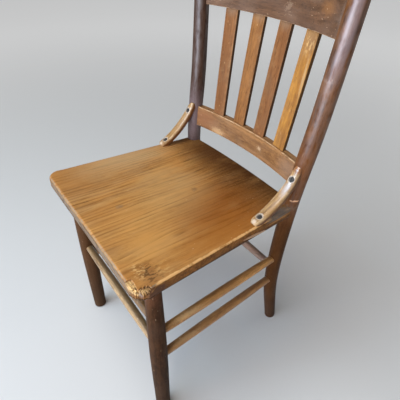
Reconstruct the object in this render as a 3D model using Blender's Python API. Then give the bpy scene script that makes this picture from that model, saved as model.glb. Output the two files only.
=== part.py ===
"""Oak slat-back side chair: bent round back posts, laminated seat, turned legs and stretchers.

Metres, +Z up, the front of the chair faces -Y, and the floor is Z = 0.
"""

import math

import bmesh
import bpy
import numpy as np
from mathutils import Vector

# Fit between pieces
GAP = 0.0003
GROOVE_GAP = 0.0005

# Seat
SEAT_HEIGHT = 0.450
SEAT_FRONT_WIDTH = 0.400
SEAT_TAPER = 0.0431
SEAT_DEPTH = 0.374
SEAT_BACK_BOW = 0.0085
SEAT_CORNER_RADIUS = 0.024
SEAT_FALL = 0.028
SEAT_EDGE_ROUND = 0.006
SEAT_UNDER_ROUND = 0.0025
TOP_PLY = 0.003
CORE_PLY = 0.0174
BOTTOM_PLY = 0.003

# Front legs: the top's place is measured from the seat's side and front edge
LEG_SIDE_INSET = 0.0312
LEG_TOP_SETBACK = 0.0435
LEG_SPLAY = 0.0029
LEG_RAKE = 0.001
LEG_TOP_RADIUS = 0.0147
LEG_BELLY_RADIUS = 0.0176
LEG_BELLY_HEIGHT = 0.215
LEG_FOOT_RADIUS = 0.0156
LEG_TENON_RADIUS = 0.011
LEG_TENON_LENGTH = 0.015

# Back posts: at the seat the axis is measured from the seat's rear corner, and the bends from there
POST_SIDE_INSET = 0.01125
POST_BACK_INSET = 0.0061
POST_SEAT_DROP = 0.015
POST_BEND_HEIGHT = 0.202
POST_BACK_RISE = 0.177
POST_TOP_RISE = 0.420
POST_FOOT_NARROWING = 0.0283
POST_BEND_NARROWING = 0.0151
POST_BACK_WIDENING = 0.0102
POST_TOP_WIDENING = 0.0226
POST_FOOT_KICK = 0.0506
POST_BEND_KICK = 0.0057
POST_BACK_RAKE = 0.0198
POST_TOP_RAKE = 0.0356
POST_FOOT_RADIUS = 0.0138
POST_SHIN_HEIGHT = 0.150
POST_SHIN_RADIUS = 0.0155
POST_SEAT_RADIUS = 0.0160
POST_FULL_RISE = 0.110
POST_FULL_RADIUS = 0.0172
POST_TOP_RADIUS = 0.0155
POST_DOME = 0.010
FOOT_EASING = 0.003

# Crest rail, lower rail and slats
RAIL_THICKNESS = 0.017
CREST_DROP = 0.124
CREST_END_HEIGHT = 0.100
CREST_ARCH = 0.018
CREST_SAG = 0.031
CREST_SETBACK = 0.003
LOWER_RAIL_CLEARANCE = 0.0307
LOWER_RAIL_HEIGHT = 0.0464
LOWER_RAIL_SAG = 0.0195
RAIL_TENON_THICKNESS = 0.009
RAIL_TENON_PAST_AXIS = 0.003
RAIL_TENON_ROOT = 0.034
RAIL_TENON_EDGE = 0.012
GROOVE_DEPTH = 0.010
SLAT_WIDTH = 0.032
SLAT_THICKNESS = 0.008
SLAT_TOP_SPACING = 0.0708
SLAT_BOTTOM_SPACING = 0.0636
SLAT_PLACES = (-1.5, -0.5, 0.5, 1.5)

# Hip braces
BRACE_WIDTH = 0.0215
BRACE_END_WIDTH = 0.011
BRACE_END_SHARE = 0.07
BRACE_THICKNESS = 0.013
RIGHT_BRACE_FOOT_OUTWARD = 0.0070
RIGHT_BRACE_HEAD_OUTWARD = 0.0095
RIGHT_BRACE_REACH = 0.1188
RIGHT_BRACE_RISE = 0.0765
LEFT_BRACE_FOOT_OUTWARD = 0.0075
LEFT_BRACE_HEAD_OUTWARD = 0.0015
LEFT_BRACE_REACH = 0.1045
LEFT_BRACE_RISE = 0.0870
BRACE_FOOT_LIP = 0.0045
BRACE_TOP_LIP = 0.0025
BRACE_SAG = 0.0120
BRACE_LOW_SCREW = 0.139
BRACE_HIGH_SCREW = 0.8465

# Stretchers
FRONT_UPPER_HEIGHT = 0.311
FRONT_LOWER_HEIGHT = 0.2365
SIDE_UPPER_HEIGHT = 0.278
SIDE_LOWER_HEIGHT = 0.200
BACK_STRETCHER_HEIGHT = 0.238
STRETCHER_END_RADIUS = 0.0078
STRETCHER_MIDDLE_RADIUS = 0.0097
BACK_STRETCHER_MIDDLE_RADIUS = 0.0094
STRETCHER_TIP_SHORT = 0.002
STRETCHER_TENON = 0.018
STRETCHER_SWELL_POWER = 0.8

# Screws and pins
SCREW_HEAD_RADIUS = 0.0045
SCREW_SHANK_RADIUS = 0.0023
SCREW_POINT_LENGTH = 0.005
SCREW_POINT_SHARE = 0.25
BRACE_SCREW_LENGTH = 0.026
SEAT_SCREW_LENGTH = 0.060
SEAT_SCREW_SINK = 0.002
SEAT_SCREW_TOE_IN = 0.25
PIN_RADIUS = 0.0015
PIN_LENGTH = 0.024
PIN_INSET = 0.004

# Facets
ROUND_SEGMENTS = 24
SPINDLE_SEGMENTS = 16
SCREW_SEGMENTS = 12
POST_RINGS = 26
POST_DOME_SHARES = (0.35, 0.7, 0.94)
LEG_RINGS = 13
STRETCHER_RINGS = 9
RAIL_STEPS = 16
TENON_STEPS = 4
CORNER_STEPS = 6
EDGE_STEPS = 3
BACK_EDGE_STEPS = 10
BRACE_STEPS = 14
CUTTER_OVERRUN = 0.004

SEAT_BACK_WIDTH = SEAT_FRONT_WIDTH - SEAT_TAPER
SEAT_THICKNESS = TOP_PLY + CORE_PLY + BOTTOM_PLY + 2 * GAP
SCREW_HEAD_LENGTH = SCREW_HEAD_RADIUS - SCREW_SHANK_RADIUS
POST_SEAT_HEIGHT = SEAT_HEIGHT - POST_SEAT_DROP
POST_FULL_HEIGHT = SEAT_HEIGHT + POST_FULL_RISE
POST_BACK_HEIGHT = SEAT_HEIGHT + POST_BACK_RISE
POST_TOP_HEIGHT = SEAT_HEIGHT + POST_TOP_RISE
POST_SEAT_SPREAD = SEAT_BACK_WIDTH / 2 - POST_SIDE_INSET
POST_TOP_SPREAD = POST_SEAT_SPREAD + POST_TOP_WIDENING
POST_SEAT_SETBACK = SEAT_DEPTH - POST_BACK_INSET
CREST_BOTTOM = POST_TOP_HEIGHT - CREST_DROP
CREST_TOP = CREST_BOTTOM + CREST_END_HEIGHT + CREST_ARCH
LOWER_RAIL_BOTTOM = SEAT_HEIGHT + LOWER_RAIL_CLEARANCE
LOWER_RAIL_TOP = LOWER_RAIL_BOTTOM + LOWER_RAIL_HEIGHT

MATERIALS = {
    "seat_oak": ((0.38, 0.20, 0.075), 0.42, 0.0),
    "seat_core_oak": ((0.62, 0.47, 0.30), 0.75, 0.0),
    "post_oak": ((0.17, 0.085, 0.05), 0.38, 0.0),
    "leg_oak": ((0.19, 0.105, 0.065), 0.42, 0.0),
    "rail_oak": ((0.30, 0.175, 0.09), 0.45, 0.0),
    "slat_oak": ((0.38, 0.22, 0.10), 0.45, 0.0),
    "brace_oak": ((0.50, 0.36, 0.22), 0.45, 0.0),
    "stretcher_oak": ((0.42, 0.26, 0.12), 0.42, 0.0),
    "screw_steel": ((0.33, 0.33, 0.34), 0.38, 1.0),
    "pin_steel": ((0.26, 0.25, 0.24), 0.5, 1.0),
}


def clear_scene():
    for obj in list(bpy.data.objects):
        bpy.data.objects.remove(obj, do_unlink=True)


def new_collection(name):
    collection = bpy.data.collections.new(name)
    bpy.context.scene.collection.children.link(collection)
    return collection


def new_materials():
    made = {}
    for name, (colour, roughness, metallic) in MATERIALS.items():
        material = bpy.data.materials.new(name)
        material.use_nodes = True
        shader = material.node_tree.nodes["Principled BSDF"]
        shader.inputs["Base Color"].default_value = (*colour, 1.0)
        shader.inputs["Roughness"].default_value = roughness
        shader.inputs["Metallic"].default_value = metallic
        material.diffuse_color = (*colour, 1.0)
        made[name] = material
    return made


clear_scene()
PARTS = new_collection("oak_side_chair")
CUTTERS = new_collection("cutters")
FINISH = new_materials()


def add_object(name, mesh, material, smooth=False):
    obj = bpy.data.objects.new(name, mesh)
    mesh.materials.append(FINISH[material])
    for face in mesh.polygons:
        face.use_smooth = smooth and len(face.vertices) == 4
    PARTS.objects.link(obj)
    return obj


def add_cutter(name, mesh):
    obj = bpy.data.objects.new(name, mesh)
    obj.hide_render = True
    obj.display_type = "WIRE"
    CUTTERS.objects.link(obj)
    return obj


def combine(obj, other, operation):
    modifier = obj.modifiers.new(other.name, "BOOLEAN")
    modifier.operation = operation
    modifier.solver = "EXACT"
    modifier.object = other


def cut(obj, other):
    combine(obj, other, "DIFFERENCE")


def rings_mesh(name, rings):
    """A closed mesh from rings of equal length, with a flat face at each end."""
    count = len(rings[0])
    mesh = bpy.data.meshes.new(name)
    points = [point for ring in rings for point in ring]
    faces = [list(range(count))[::-1]]
    for row in range(len(rings) - 1):
        low = row * count
        for i in range(count):
            j = (i + 1) % count
            faces.append([low + i, low + j, low + count + j, low + count + i])
    top = (len(rings) - 1) * count
    faces.append(list(range(top, top + count)))
    mesh.from_pydata(points, [], faces)
    work = bmesh.new()
    work.from_mesh(mesh)
    bmesh.ops.recalc_face_normals(work, faces=work.faces)
    work.to_mesh(mesh)
    work.free()
    return mesh


def level_ring(x, y, z, radius, segments):
    turns = [2 * math.pi * i / segments for i in range(segments)]
    return [(x + radius * math.cos(t), y + radius * math.sin(t), z) for t in turns]


def turned_mesh(name, profile, segments):
    """A turned solid about the local Z axis from (height, radius) pairs."""
    return rings_mesh(name, [level_ring(0, 0, z, r, segments) for z, r in profile])


def aim(obj, start, direction):
    obj.location = start
    obj.rotation_mode = "QUATERNION"
    obj.rotation_quaternion = Vector(direction).to_track_quat("Z", "Y")


def smooth_through(heights, values):
    """A smooth curve through the values: at each height it leaves along its neighbours' slope."""
    slopes = np.gradient(values, heights)
    slopes[1:-1] = [
        (values[i + 1] - values[i - 1]) / (heights[i + 1] - heights[i - 1])
        for i in range(1, len(values) - 1)
    ]

    def value(z):
        i = min(max(int(np.searchsorted(heights, z)) - 1, 0), len(heights) - 2)
        run = heights[i + 1] - heights[i]
        t = (z - heights[i]) / run
        start = (1 + 2 * t) * (1 - t) ** 2 * values[i]
        start += t * (1 - t) ** 2 * run * slopes[i]
        finish = t * t * (3 - 2 * t) * values[i + 1]
        finish += t * t * (t - 1) * run * slopes[i + 1]
        return float(start + finish)

    return value


POST_HEIGHTS = [0.0, POST_BEND_HEIGHT, POST_SEAT_HEIGHT, POST_BACK_HEIGHT, POST_TOP_HEIGHT]
POST_SPREADS = [
    POST_SEAT_SPREAD - POST_FOOT_NARROWING,
    POST_SEAT_SPREAD - POST_BEND_NARROWING,
    POST_SEAT_SPREAD,
    POST_SEAT_SPREAD + POST_BACK_WIDENING,
    POST_TOP_SPREAD,
]
POST_SETBACKS = [
    POST_SEAT_SETBACK + POST_FOOT_KICK,
    POST_SEAT_SETBACK + POST_BEND_KICK,
    POST_SEAT_SETBACK,
    POST_SEAT_SETBACK + POST_BACK_RAKE,
    POST_SEAT_SETBACK + POST_TOP_RAKE,
]
post_spread = smooth_through(POST_HEIGHTS, POST_SPREADS)
post_setback = smooth_through(POST_HEIGHTS, POST_SETBACKS)


def post_radius(z):
    heights = [0, POST_SHIN_HEIGHT, POST_SEAT_HEIGHT, POST_FULL_HEIGHT, POST_TOP_HEIGHT]
    radii = [POST_FOOT_RADIUS, POST_SHIN_RADIUS, POST_SEAT_RADIUS, POST_FULL_RADIUS, POST_TOP_RADIUS]
    return float(np.interp(z, heights, radii))


def front_edge():
    """Where the seat's front edge lies when the whole chair's box is centred on the origin."""
    lean = (SEAT_THICKNESS - SEAT_UNDER_ROUND) * math.sin(math.atan(SEAT_FALL))
    crest_rear = post_setback(CREST_TOP) + CREST_SETBACK + CREST_SAG + RAIL_THICKNESS / 2
    foot_rear = post_setback(FOOT_EASING) + post_radius(FOOT_EASING)
    return (lean - max(crest_rear, foot_rear)) / 2


FRONT_Y = front_edge()


def post_y(z):
    return FRONT_Y + post_setback(z)


def post_ring(side, z, radius):
    return level_ring(side * post_spread(z), post_y(z), z, radius, ROUND_SEGMENTS)


def post_mesh(name, side):
    rings = [post_ring(side, 0.0, POST_FOOT_RADIUS - FOOT_EASING)]
    for z in np.linspace(FOOT_EASING, POST_TOP_HEIGHT, POST_RINGS):
        rings.append(post_ring(side, z, post_radius(z)))
    x, y = side * post_spread(POST_TOP_HEIGHT), post_y(POST_TOP_HEIGHT)
    for share in POST_DOME_SHARES:
        radius = POST_TOP_RADIUS * math.sqrt(1 - share * share)
        rings.append(level_ring(x, y, POST_TOP_HEIGHT + share * POST_DOME, radius, ROUND_SEGMENTS))
    return rings_mesh(name, rings)


def post_envelope(name, side, low, high):
    """The post's round with the fitting gap added, over part of its height."""
    rings = []
    for z in np.linspace(FOOT_EASING, POST_TOP_HEIGHT, POST_RINGS):
        if low <= z <= high:
            rings.append(post_ring(side, z, post_radius(z) + GAP))
    return add_cutter(name, rings_mesh(name, rings))


def leg_axis(side, z):
    share = 1 - z / (SEAT_HEIGHT - SEAT_THICKNESS)
    x = SEAT_FRONT_WIDTH / 2 - LEG_SIDE_INSET + LEG_SPLAY * share
    y = FRONT_Y + LEG_TOP_SETBACK + LEG_RAKE * share
    return Vector((side * x, y, z))


def post_axis(side, z):
    return Vector((side * post_spread(z), post_y(z), z))


def seat_top(setback):
    return SEAT_HEIGHT - SEAT_FALL * setback


def leg_shoulder():
    lowest = LEG_TOP_SETBACK + LEG_TOP_RADIUS
    return seat_top(lowest) - SEAT_THICKNESS * math.hypot(1, SEAT_FALL) - GAP


def leg_radius(z):
    heights = [0, LEG_BELLY_HEIGHT, leg_shoulder()]
    return smooth_through(heights, [LEG_FOOT_RADIUS, LEG_BELLY_RADIUS, LEG_TOP_RADIUS])(z)


def front_leg(side, name):
    shoulder = leg_shoulder()
    rings = [level_ring(*leg_axis(side, 0.0), LEG_FOOT_RADIUS - FOOT_EASING, ROUND_SEGMENTS)]
    for z in np.linspace(FOOT_EASING, shoulder, LEG_RINGS):
        rings.append(level_ring(*leg_axis(side, z), leg_radius(z), ROUND_SEGMENTS))
    for z in (shoulder, shoulder + LEG_TENON_LENGTH):
        rings.append(level_ring(*leg_axis(side, z), LEG_TENON_RADIUS, ROUND_SEGMENTS))
    return add_object(name, rings_mesh(name, rings), "leg_oak", smooth=True)


def leg_socket(side, name):
    shoulder = leg_shoulder()
    rings = []
    for z in (shoulder - CUTTER_OVERRUN, shoulder + LEG_TENON_LENGTH + GAP):
        rings.append(level_ring(*leg_axis(side, z), LEG_TENON_RADIUS + GAP, ROUND_SEGMENTS))
    return add_cutter(name, rings_mesh(name, rings))


def seat_outline(inset):
    """The seat's plan, drawn in by the inset: x across, y back from the front edge."""
    front = SEAT_FRONT_WIDTH / 2 - inset
    back = SEAT_BACK_WIDTH / 2 - inset
    radius = SEAT_CORNER_RADIUS - inset
    points = []
    for i in range(CORNER_STEPS + 1):
        turn = math.pi / 2 * i / CORNER_STEPS
        x = front - radius + radius * math.sin(turn)
        points.append((x, inset + radius - radius * math.cos(turn)))
    for i in range(BACK_EDGE_STEPS + 1):
        share = 1 - 2 * i / BACK_EDGE_STEPS
        bow = SEAT_BACK_BOW * (1 - share * share)
        points.append((back * share, SEAT_DEPTH - inset + bow))
    for i in range(CORNER_STEPS + 1):
        turn = math.pi / 2 * (1 - i / CORNER_STEPS)
        x = front - radius + radius * math.sin(turn)
        points.append((-x, inset + radius - radius * math.cos(turn)))
    return points


def edge_inset(depth):
    """How far the rounded edge draws the plan in, at a depth below the seat's top face."""
    above = SEAT_EDGE_ROUND - depth
    below = depth - (SEAT_THICKNESS - SEAT_UNDER_ROUND)
    if above > 0:
        return SEAT_EDGE_ROUND - math.sqrt(SEAT_EDGE_ROUND**2 - above**2)
    if below > 0:
        return SEAT_UNDER_ROUND - math.sqrt(max(SEAT_UNDER_ROUND**2 - below**2, 0))
    return 0


def seat_ply(name, depths, material):
    """One layer of the seat, from its outlines at some depths below the top face."""
    rings = []
    for depth in depths:
        rings.append([(x, y, -depth) for x, y in seat_outline(edge_inset(depth))])
    obj = add_object(name, rings_mesh(name, rings), material)
    obj.location = (0, FRONT_Y, SEAT_HEIGHT)
    obj.rotation_euler = (-math.atan(SEAT_FALL), 0, 0)
    return obj


def build_seat():
    core_start = TOP_PLY + GAP
    core_end = core_start + CORE_PLY
    under_start = SEAT_THICKNESS - BOTTOM_PLY
    top_depths = np.linspace(0, TOP_PLY, EDGE_STEPS + 1)
    round_end = max(SEAT_EDGE_ROUND, core_start + GAP)
    core_depths = [*np.linspace(core_start, round_end, EDGE_STEPS), core_end]
    under_depths = np.linspace(under_start, SEAT_THICKNESS, EDGE_STEPS + 1)
    top = seat_ply("seat_top_ply", top_depths, "seat_oak")
    core = seat_ply("seat_core", core_depths, "seat_core_oak")
    bottom = seat_ply("seat_bottom_ply", under_depths, "seat_oak")
    return [top, core, bottom]


def back_surface(sag, setback):
    """The middle surface of a rail: it meets the post axes at its ends and bows back between them."""

    def middle_y(x, z):
        share = x / post_spread(z)
        return post_y(z) + setback + sag * (1 - share * share)

    return middle_y


crest_surface = back_surface(CREST_SAG, CREST_SETBACK)
lower_surface = back_surface(LOWER_RAIL_SAG, 0.0)


def crest_top(x):
    share = x / POST_TOP_SPREAD
    return CREST_BOTTOM + CREST_END_HEIGHT + CREST_ARCH * (1 - share * share)


def rail_piece(name, surface, start, finish, low, high, thickness, steps=RAIL_STEPS):
    """A length of bent rail between two x positions, with heights low(x) and high(x)."""
    half = thickness / 2
    rings = []
    for x in np.linspace(start, finish, steps + 1):
        ring = [(x, surface(x, low(x)) + reach, low(x)) for reach in (-half, half)]
        ring += [(x, surface(x, high(x)) + reach, high(x)) for reach in (half, -half)]
        rings.append(ring)
    return rings_mesh(name, rings)


def level(value):
    return lambda x: value


def bent_rail(name, shape):
    """A rail coped to both posts, with a thinner tenon into each."""
    surface, low, high, middle_height = shape
    reach = post_spread(middle_height)
    body = rail_piece(name, surface, -reach, reach, low, high, RAIL_THICKNESS)
    rail = add_object(name, body, "rail_oak")
    rail_height = high(0) - low(0)
    for side in (1, -1):
        below, above = low(reach) - rail_height, high(reach) + rail_height
        cut(rail, post_envelope(f"{name}_cope_{side}", side, below, above))
    for side in (1, -1):
        tenon = tenon_mesh(f"{name}_tenon_{side}", side, shape, 0.0)
        combine(rail, add_cutter(tenon.name, tenon), "UNION")
    return rail


def tenon_mesh(name, side, shape, gap):
    surface, low, high, middle_height = shape
    axis = post_spread(middle_height)
    start = side * (axis - RAIL_TENON_ROOT)
    finish = side * (axis + RAIL_TENON_PAST_AXIS + gap)
    bottom = level(low(axis) + RAIL_TENON_EDGE - gap)
    top = level(high(axis) - RAIL_TENON_EDGE + gap)
    thickness = RAIL_TENON_THICKNESS + 2 * gap
    return rail_piece(name, surface, start, finish, bottom, top, thickness, TENON_STEPS)


def groove(name, surface, low, high):
    reach = POST_TOP_SPREAD
    thickness = SLAT_THICKNESS + 2 * GROOVE_GAP
    mesh = rail_piece(name, surface, -reach, reach, level(low), level(high), thickness)
    return add_cutter(name, mesh)


def slat_ring(surface, x, z):
    """The slat's section at one height: a flat board turned to the rail's bend."""
    half = SLAT_WIDTH / 2
    run = surface(x + half, z) - surface(x - half, z)
    along = Vector((SLAT_WIDTH, run, 0)).normalized()
    across = Vector((-along.y, along.x, 0)) * (SLAT_THICKNESS / 2)
    left = Vector((x, surface(x, z), z)) - along * half
    right = left + along * SLAT_WIDTH
    return [left - across, right - across, right + across, left + across]


def slat(name, place):
    low_x, high_x = place * SLAT_BOTTOM_SPACING, place * SLAT_TOP_SPACING
    low = slat_ring(lower_surface, low_x, LOWER_RAIL_TOP)
    high = slat_ring(crest_surface, high_x, CREST_BOTTOM)
    foot = slat_ring(lower_surface, low_x, LOWER_RAIL_TOP - GROOVE_DEPTH + GAP)
    head = slat_ring(crest_surface, high_x, CREST_BOTTOM + GROOVE_DEPTH - GAP)
    return add_object(name, rings_mesh(name, [foot, low, high, head]), "slat_oak")


def brace_foot(side):
    """Where the brace's upper face starts on the seat: each brace is fitted by hand, so the sides differ."""
    outward = RIGHT_BRACE_FOOT_OUTWARD if side > 0 else LEFT_BRACE_FOOT_OUTWARD
    setback = SEAT_DEPTH - (RIGHT_BRACE_REACH if side > 0 else LEFT_BRACE_REACH)
    return Vector((side * (POST_SEAT_SPREAD + outward), FRONT_Y + setback, seat_top(setback) + BRACE_FOOT_LIP))


def brace_head(side):
    """Where the brace's upper face ends in front of its post."""
    outward = RIGHT_BRACE_HEAD_OUTWARD if side > 0 else LEFT_BRACE_HEAD_OUTWARD
    top = SEAT_HEIGHT + (RIGHT_BRACE_RISE if side > 0 else LEFT_BRACE_RISE)
    front = post_y(top) - post_radius(top)
    return Vector((side * (POST_SEAT_SPREAD + outward), front - BRACE_TOP_LIP, top))


def brace_face(side, share):
    """A point of the brace's hollow upper face, with the way straight into the wood there."""
    foot = brace_foot(side)
    chord = brace_head(side) - foot
    into = Vector((0, chord.z, -chord.y)).normalized()
    point = foot + chord * share + into * (4 * BRACE_SAG * share * (1 - share))
    run = chord + into * (4 * BRACE_SAG * (1 - 2 * share))
    return point, Vector((0, run.z, -run.y)).normalized()


def brace_half_width(share):
    """Half the strip's width: it is full but for the rounded ends."""
    inward = min(share / BRACE_END_SHARE, (1 - share) / BRACE_END_SHARE, 1)
    rounded = math.sqrt(1 - (1 - inward) ** 2)
    return (BRACE_END_WIDTH + (BRACE_WIDTH - BRACE_END_WIDTH) * rounded) / 2


def below_seat_top(name):
    """Everything below the seat's top face, as a slab to trim a brace's foot."""
    rings = []
    for z in (-SEAT_THICKNESS, GAP):
        rings.append([(x, y, z) for x, y in seat_outline(0)])
    slab = add_cutter(name, rings_mesh(name, rings))
    slab.location = (0, FRONT_Y, SEAT_HEIGHT)
    slab.rotation_euler = (-math.atan(SEAT_FALL), 0, 0)
    return slab


def brace(side, name, slab):
    end = [0, BRACE_END_SHARE / 3, BRACE_END_SHARE * 2 / 3]
    shares = [*end, *np.linspace(BRACE_END_SHARE, 1 - BRACE_END_SHARE, BRACE_STEPS)]
    shares += [1 - share for share in reversed(end)]
    rings = []
    for share in shares:
        point, into = brace_face(side, share)
        half = Vector((brace_half_width(share), 0, 0))
        back = point + into * BRACE_THICKNESS
        rings.append([point - half, point + half, back + half, back - half])
    obj = add_object(name, rings_mesh(name, rings), "brace_oak")
    cut(obj, slab)
    cut(obj, post_envelope(f"{name}_cope", side, SEAT_HEIGHT, CREST_BOTTOM))
    return obj


def screw_profile(length, gap):
    """A countersunk wood screw as (depth below the head's face, radius) pairs; its hole has a gap."""
    head = SCREW_HEAD_RADIUS + gap
    shank = SCREW_SHANK_RADIUS + gap
    profile = [(-CUTTER_OVERRUN, head)] if gap else []
    profile += [(0, head), (SCREW_HEAD_LENGTH, shank), (length - SCREW_POINT_LENGTH, shank)]
    profile.append((length + gap, shank * SCREW_POINT_SHARE))
    return profile


def screw(name, start, direction, length):
    mesh = turned_mesh(name, screw_profile(length, 0), SCREW_SEGMENTS)
    obj = add_object(name, mesh, "screw_steel", smooth=True)
    aim(obj, start, direction)
    hole_mesh = turned_mesh(f"{name}_hole", screw_profile(length, GAP), SCREW_SEGMENTS)
    hole = add_cutter(f"{name}_hole", hole_mesh)
    aim(hole, start, direction)
    return hole


def brace_screw(side, name, share):
    point, into = brace_face(side, share)
    return screw(name, point, into, BRACE_SCREW_LENGTH)


def seat_screw(side, name):
    height = seat_top(POST_SEAT_SETBACK) - SEAT_THICKNESS / 2
    direction = Vector((-side * SEAT_SCREW_TOE_IN, -1, SEAT_FALL)).normalized()
    start = post_axis(side, height) - direction * (post_radius(height) - SEAT_SCREW_SINK)
    return screw(name, start, direction, SEAT_SCREW_LENGTH)


def rail_pin(side, name, height):
    """A headless wire pin driven in from the back of the post, through the rail's tenon."""
    depth = math.sqrt(post_radius(height) ** 2 - PIN_INSET**2) - GAP
    start = post_axis(side, height) + Vector((-side * PIN_INSET, depth, 0))
    pin_mesh = turned_mesh(name, [(0, PIN_RADIUS), (PIN_LENGTH, PIN_RADIUS)], SCREW_SEGMENTS)
    pin = add_object(name, pin_mesh, "pin_steel", smooth=True)
    aim(pin, start, (0, -1, 0))
    profile = [(-CUTTER_OVERRUN, PIN_RADIUS + GAP), (PIN_LENGTH + GAP, PIN_RADIUS + GAP)]
    hole = add_cutter(f"{name}_hole", turned_mesh(f"{name}_hole", profile, SCREW_SEGMENTS))
    aim(hole, start, (0, -1, 0))
    return hole


def stretcher(name, start, finish, middle_radius):
    """A turned stretcher between two axes; it swells to the middle and its ends are its tenons."""
    along = (finish - start).normalized()
    first = start + along * STRETCHER_TIP_SHORT
    length = (finish - start).length - 2 * STRETCHER_TIP_SHORT
    profile = [(0, STRETCHER_END_RADIUS)]
    for share in np.linspace(0, 1, STRETCHER_RINGS):
        z = STRETCHER_TENON + share * (length - 2 * STRETCHER_TENON)
        swell = abs(math.sin(math.pi * share)) ** STRETCHER_SWELL_POWER
        profile.append((z, STRETCHER_END_RADIUS + swell * (middle_radius - STRETCHER_END_RADIUS)))
    profile.append((length, STRETCHER_END_RADIUS))
    mesh = turned_mesh(name, profile, SPINDLE_SEGMENTS)
    obj = add_object(name, mesh, "stretcher_oak", smooth=True)
    aim(obj, first, along)
    return stretcher_socket(f"{name}_sockets", first, along, length)


def stretcher_socket(name, first, along, length):
    """One long hole for both ends: it fits the tenons and misses the legs' far sides."""
    radius = STRETCHER_END_RADIUS + GAP
    mesh = turned_mesh(name, [(-GAP, radius), (length + GAP, radius)], SPINDLE_SEGMENTS)
    hole = add_cutter(name, mesh)
    aim(hole, first, along)
    return hole


def build():
    sides = {"right": 1, "left": -1}
    plies = build_seat()
    slab = below_seat_top("below_seat_top")
    legs = {name: front_leg(side, f"front_leg_{name}") for name, side in sides.items()}
    posts = {}
    for name, side in sides.items():
        mesh = post_mesh(f"back_post_{name}", side)
        posts[name] = add_object(mesh.name, mesh, "post_oak", smooth=True)

    crest_middle = CREST_BOTTOM + CREST_END_HEIGHT / 2
    lower_middle = LOWER_RAIL_BOTTOM + LOWER_RAIL_HEIGHT / 2
    crest_shape = (crest_surface, level(CREST_BOTTOM), crest_top, crest_middle)
    lower_shape = (lower_surface, level(LOWER_RAIL_BOTTOM), level(LOWER_RAIL_TOP), lower_middle)
    crest = bent_rail("crest_rail", crest_shape)
    lower = bent_rail("lower_rail", lower_shape)
    crest_span = CREST_BOTTOM - CUTTER_OVERRUN, CREST_BOTTOM + GROOVE_DEPTH
    lower_span = LOWER_RAIL_TOP - GROOVE_DEPTH, LOWER_RAIL_TOP + CUTTER_OVERRUN
    cut(crest, groove("crest_groove", crest_surface, *crest_span))
    cut(lower, groove("lower_groove", lower_surface, *lower_span))
    for number, place in enumerate(SLAT_PLACES, start=1):
        slat(f"slat_{number}", place)

    front_sockets = []
    for place, height in (("upper", FRONT_UPPER_HEIGHT), ("lower", FRONT_LOWER_HEIGHT)):
        ends = leg_axis(-1, height), leg_axis(1, height)
        front_sockets.append(stretcher(f"front_stretcher_{place}", *ends, STRETCHER_MIDDLE_RADIUS))
    back_ends = post_axis(-1, BACK_STRETCHER_HEIGHT), post_axis(1, BACK_STRETCHER_HEIGHT)
    back_sockets = stretcher("back_stretcher", *back_ends, BACK_STRETCHER_MIDDLE_RADIUS)

    for name, side in sides.items():
        leg, post = legs[name], posts[name]
        for sockets in front_sockets:
            cut(leg, sockets)
        cut(post, back_sockets)
        for place, height in (("upper", SIDE_UPPER_HEIGHT), ("lower", SIDE_LOWER_HEIGHT)):
            ends = leg_axis(side, height), post_axis(side, height)
            sockets = stretcher(f"side_stretcher_{place}_{name}", *ends, STRETCHER_MIDDLE_RADIUS)
            cut(leg, sockets)
            cut(post, sockets)

        socket = leg_socket(side, f"leg_socket_{name}")
        notch = post_envelope(f"seat_notch_{name}", side, LEG_BELLY_HEIGHT, CREST_BOTTOM)
        for ply in plies:
            cut(ply, notch)
        for ply in plies[1:]:
            cut(ply, socket)

        for rail, shape in ((crest, crest_shape), (lower, lower_shape)):
            mortise = tenon_mesh(f"{rail.name}_mortise_{name}", side, shape, GAP)
            cut(post, add_cutter(mortise.name, mortise))
            pin_hole = rail_pin(side, f"{rail.name}_pin_{name}", shape[-1])
            cut(post, pin_hole)
            cut(rail, pin_hole)

        hip = brace(side, f"hip_brace_{name}", slab)
        low_hole = brace_screw(side, f"brace_screw_lower_{name}", BRACE_LOW_SCREW)
        high_hole = brace_screw(side, f"brace_screw_upper_{name}", BRACE_HIGH_SCREW)
        cut(hip, low_hole)
        cut(hip, high_hole)
        cut(post, high_hole)
        cut(lower, high_hole)
        seat_hole = seat_screw(side, f"seat_screw_{name}")
        cut(post, seat_hole)
        for ply in plies[:2]:
            cut(ply, low_hole)
        cut(plies[1], seat_hole)


build()
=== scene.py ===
import math

import bpy
import numpy as np
from mathutils import Matrix, Vector


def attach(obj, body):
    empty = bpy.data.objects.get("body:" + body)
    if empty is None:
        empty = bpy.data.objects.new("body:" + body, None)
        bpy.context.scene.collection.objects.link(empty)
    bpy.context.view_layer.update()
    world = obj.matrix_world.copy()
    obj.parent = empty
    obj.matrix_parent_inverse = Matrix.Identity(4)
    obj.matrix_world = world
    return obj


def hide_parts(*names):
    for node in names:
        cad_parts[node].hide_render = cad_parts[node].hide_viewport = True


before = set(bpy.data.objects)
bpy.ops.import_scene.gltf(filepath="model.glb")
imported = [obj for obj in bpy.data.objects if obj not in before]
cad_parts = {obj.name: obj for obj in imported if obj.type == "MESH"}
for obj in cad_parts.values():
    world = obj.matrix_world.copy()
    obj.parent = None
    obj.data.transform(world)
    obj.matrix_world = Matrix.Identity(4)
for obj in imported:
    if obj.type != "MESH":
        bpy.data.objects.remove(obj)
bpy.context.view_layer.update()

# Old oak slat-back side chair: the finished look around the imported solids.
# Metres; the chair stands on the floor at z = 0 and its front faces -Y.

# The chair's two sides: the right one lies at +X
SIDES = (("right", 1), ("left", -1))

# Where every random draw starts
SEED = 7

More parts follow.
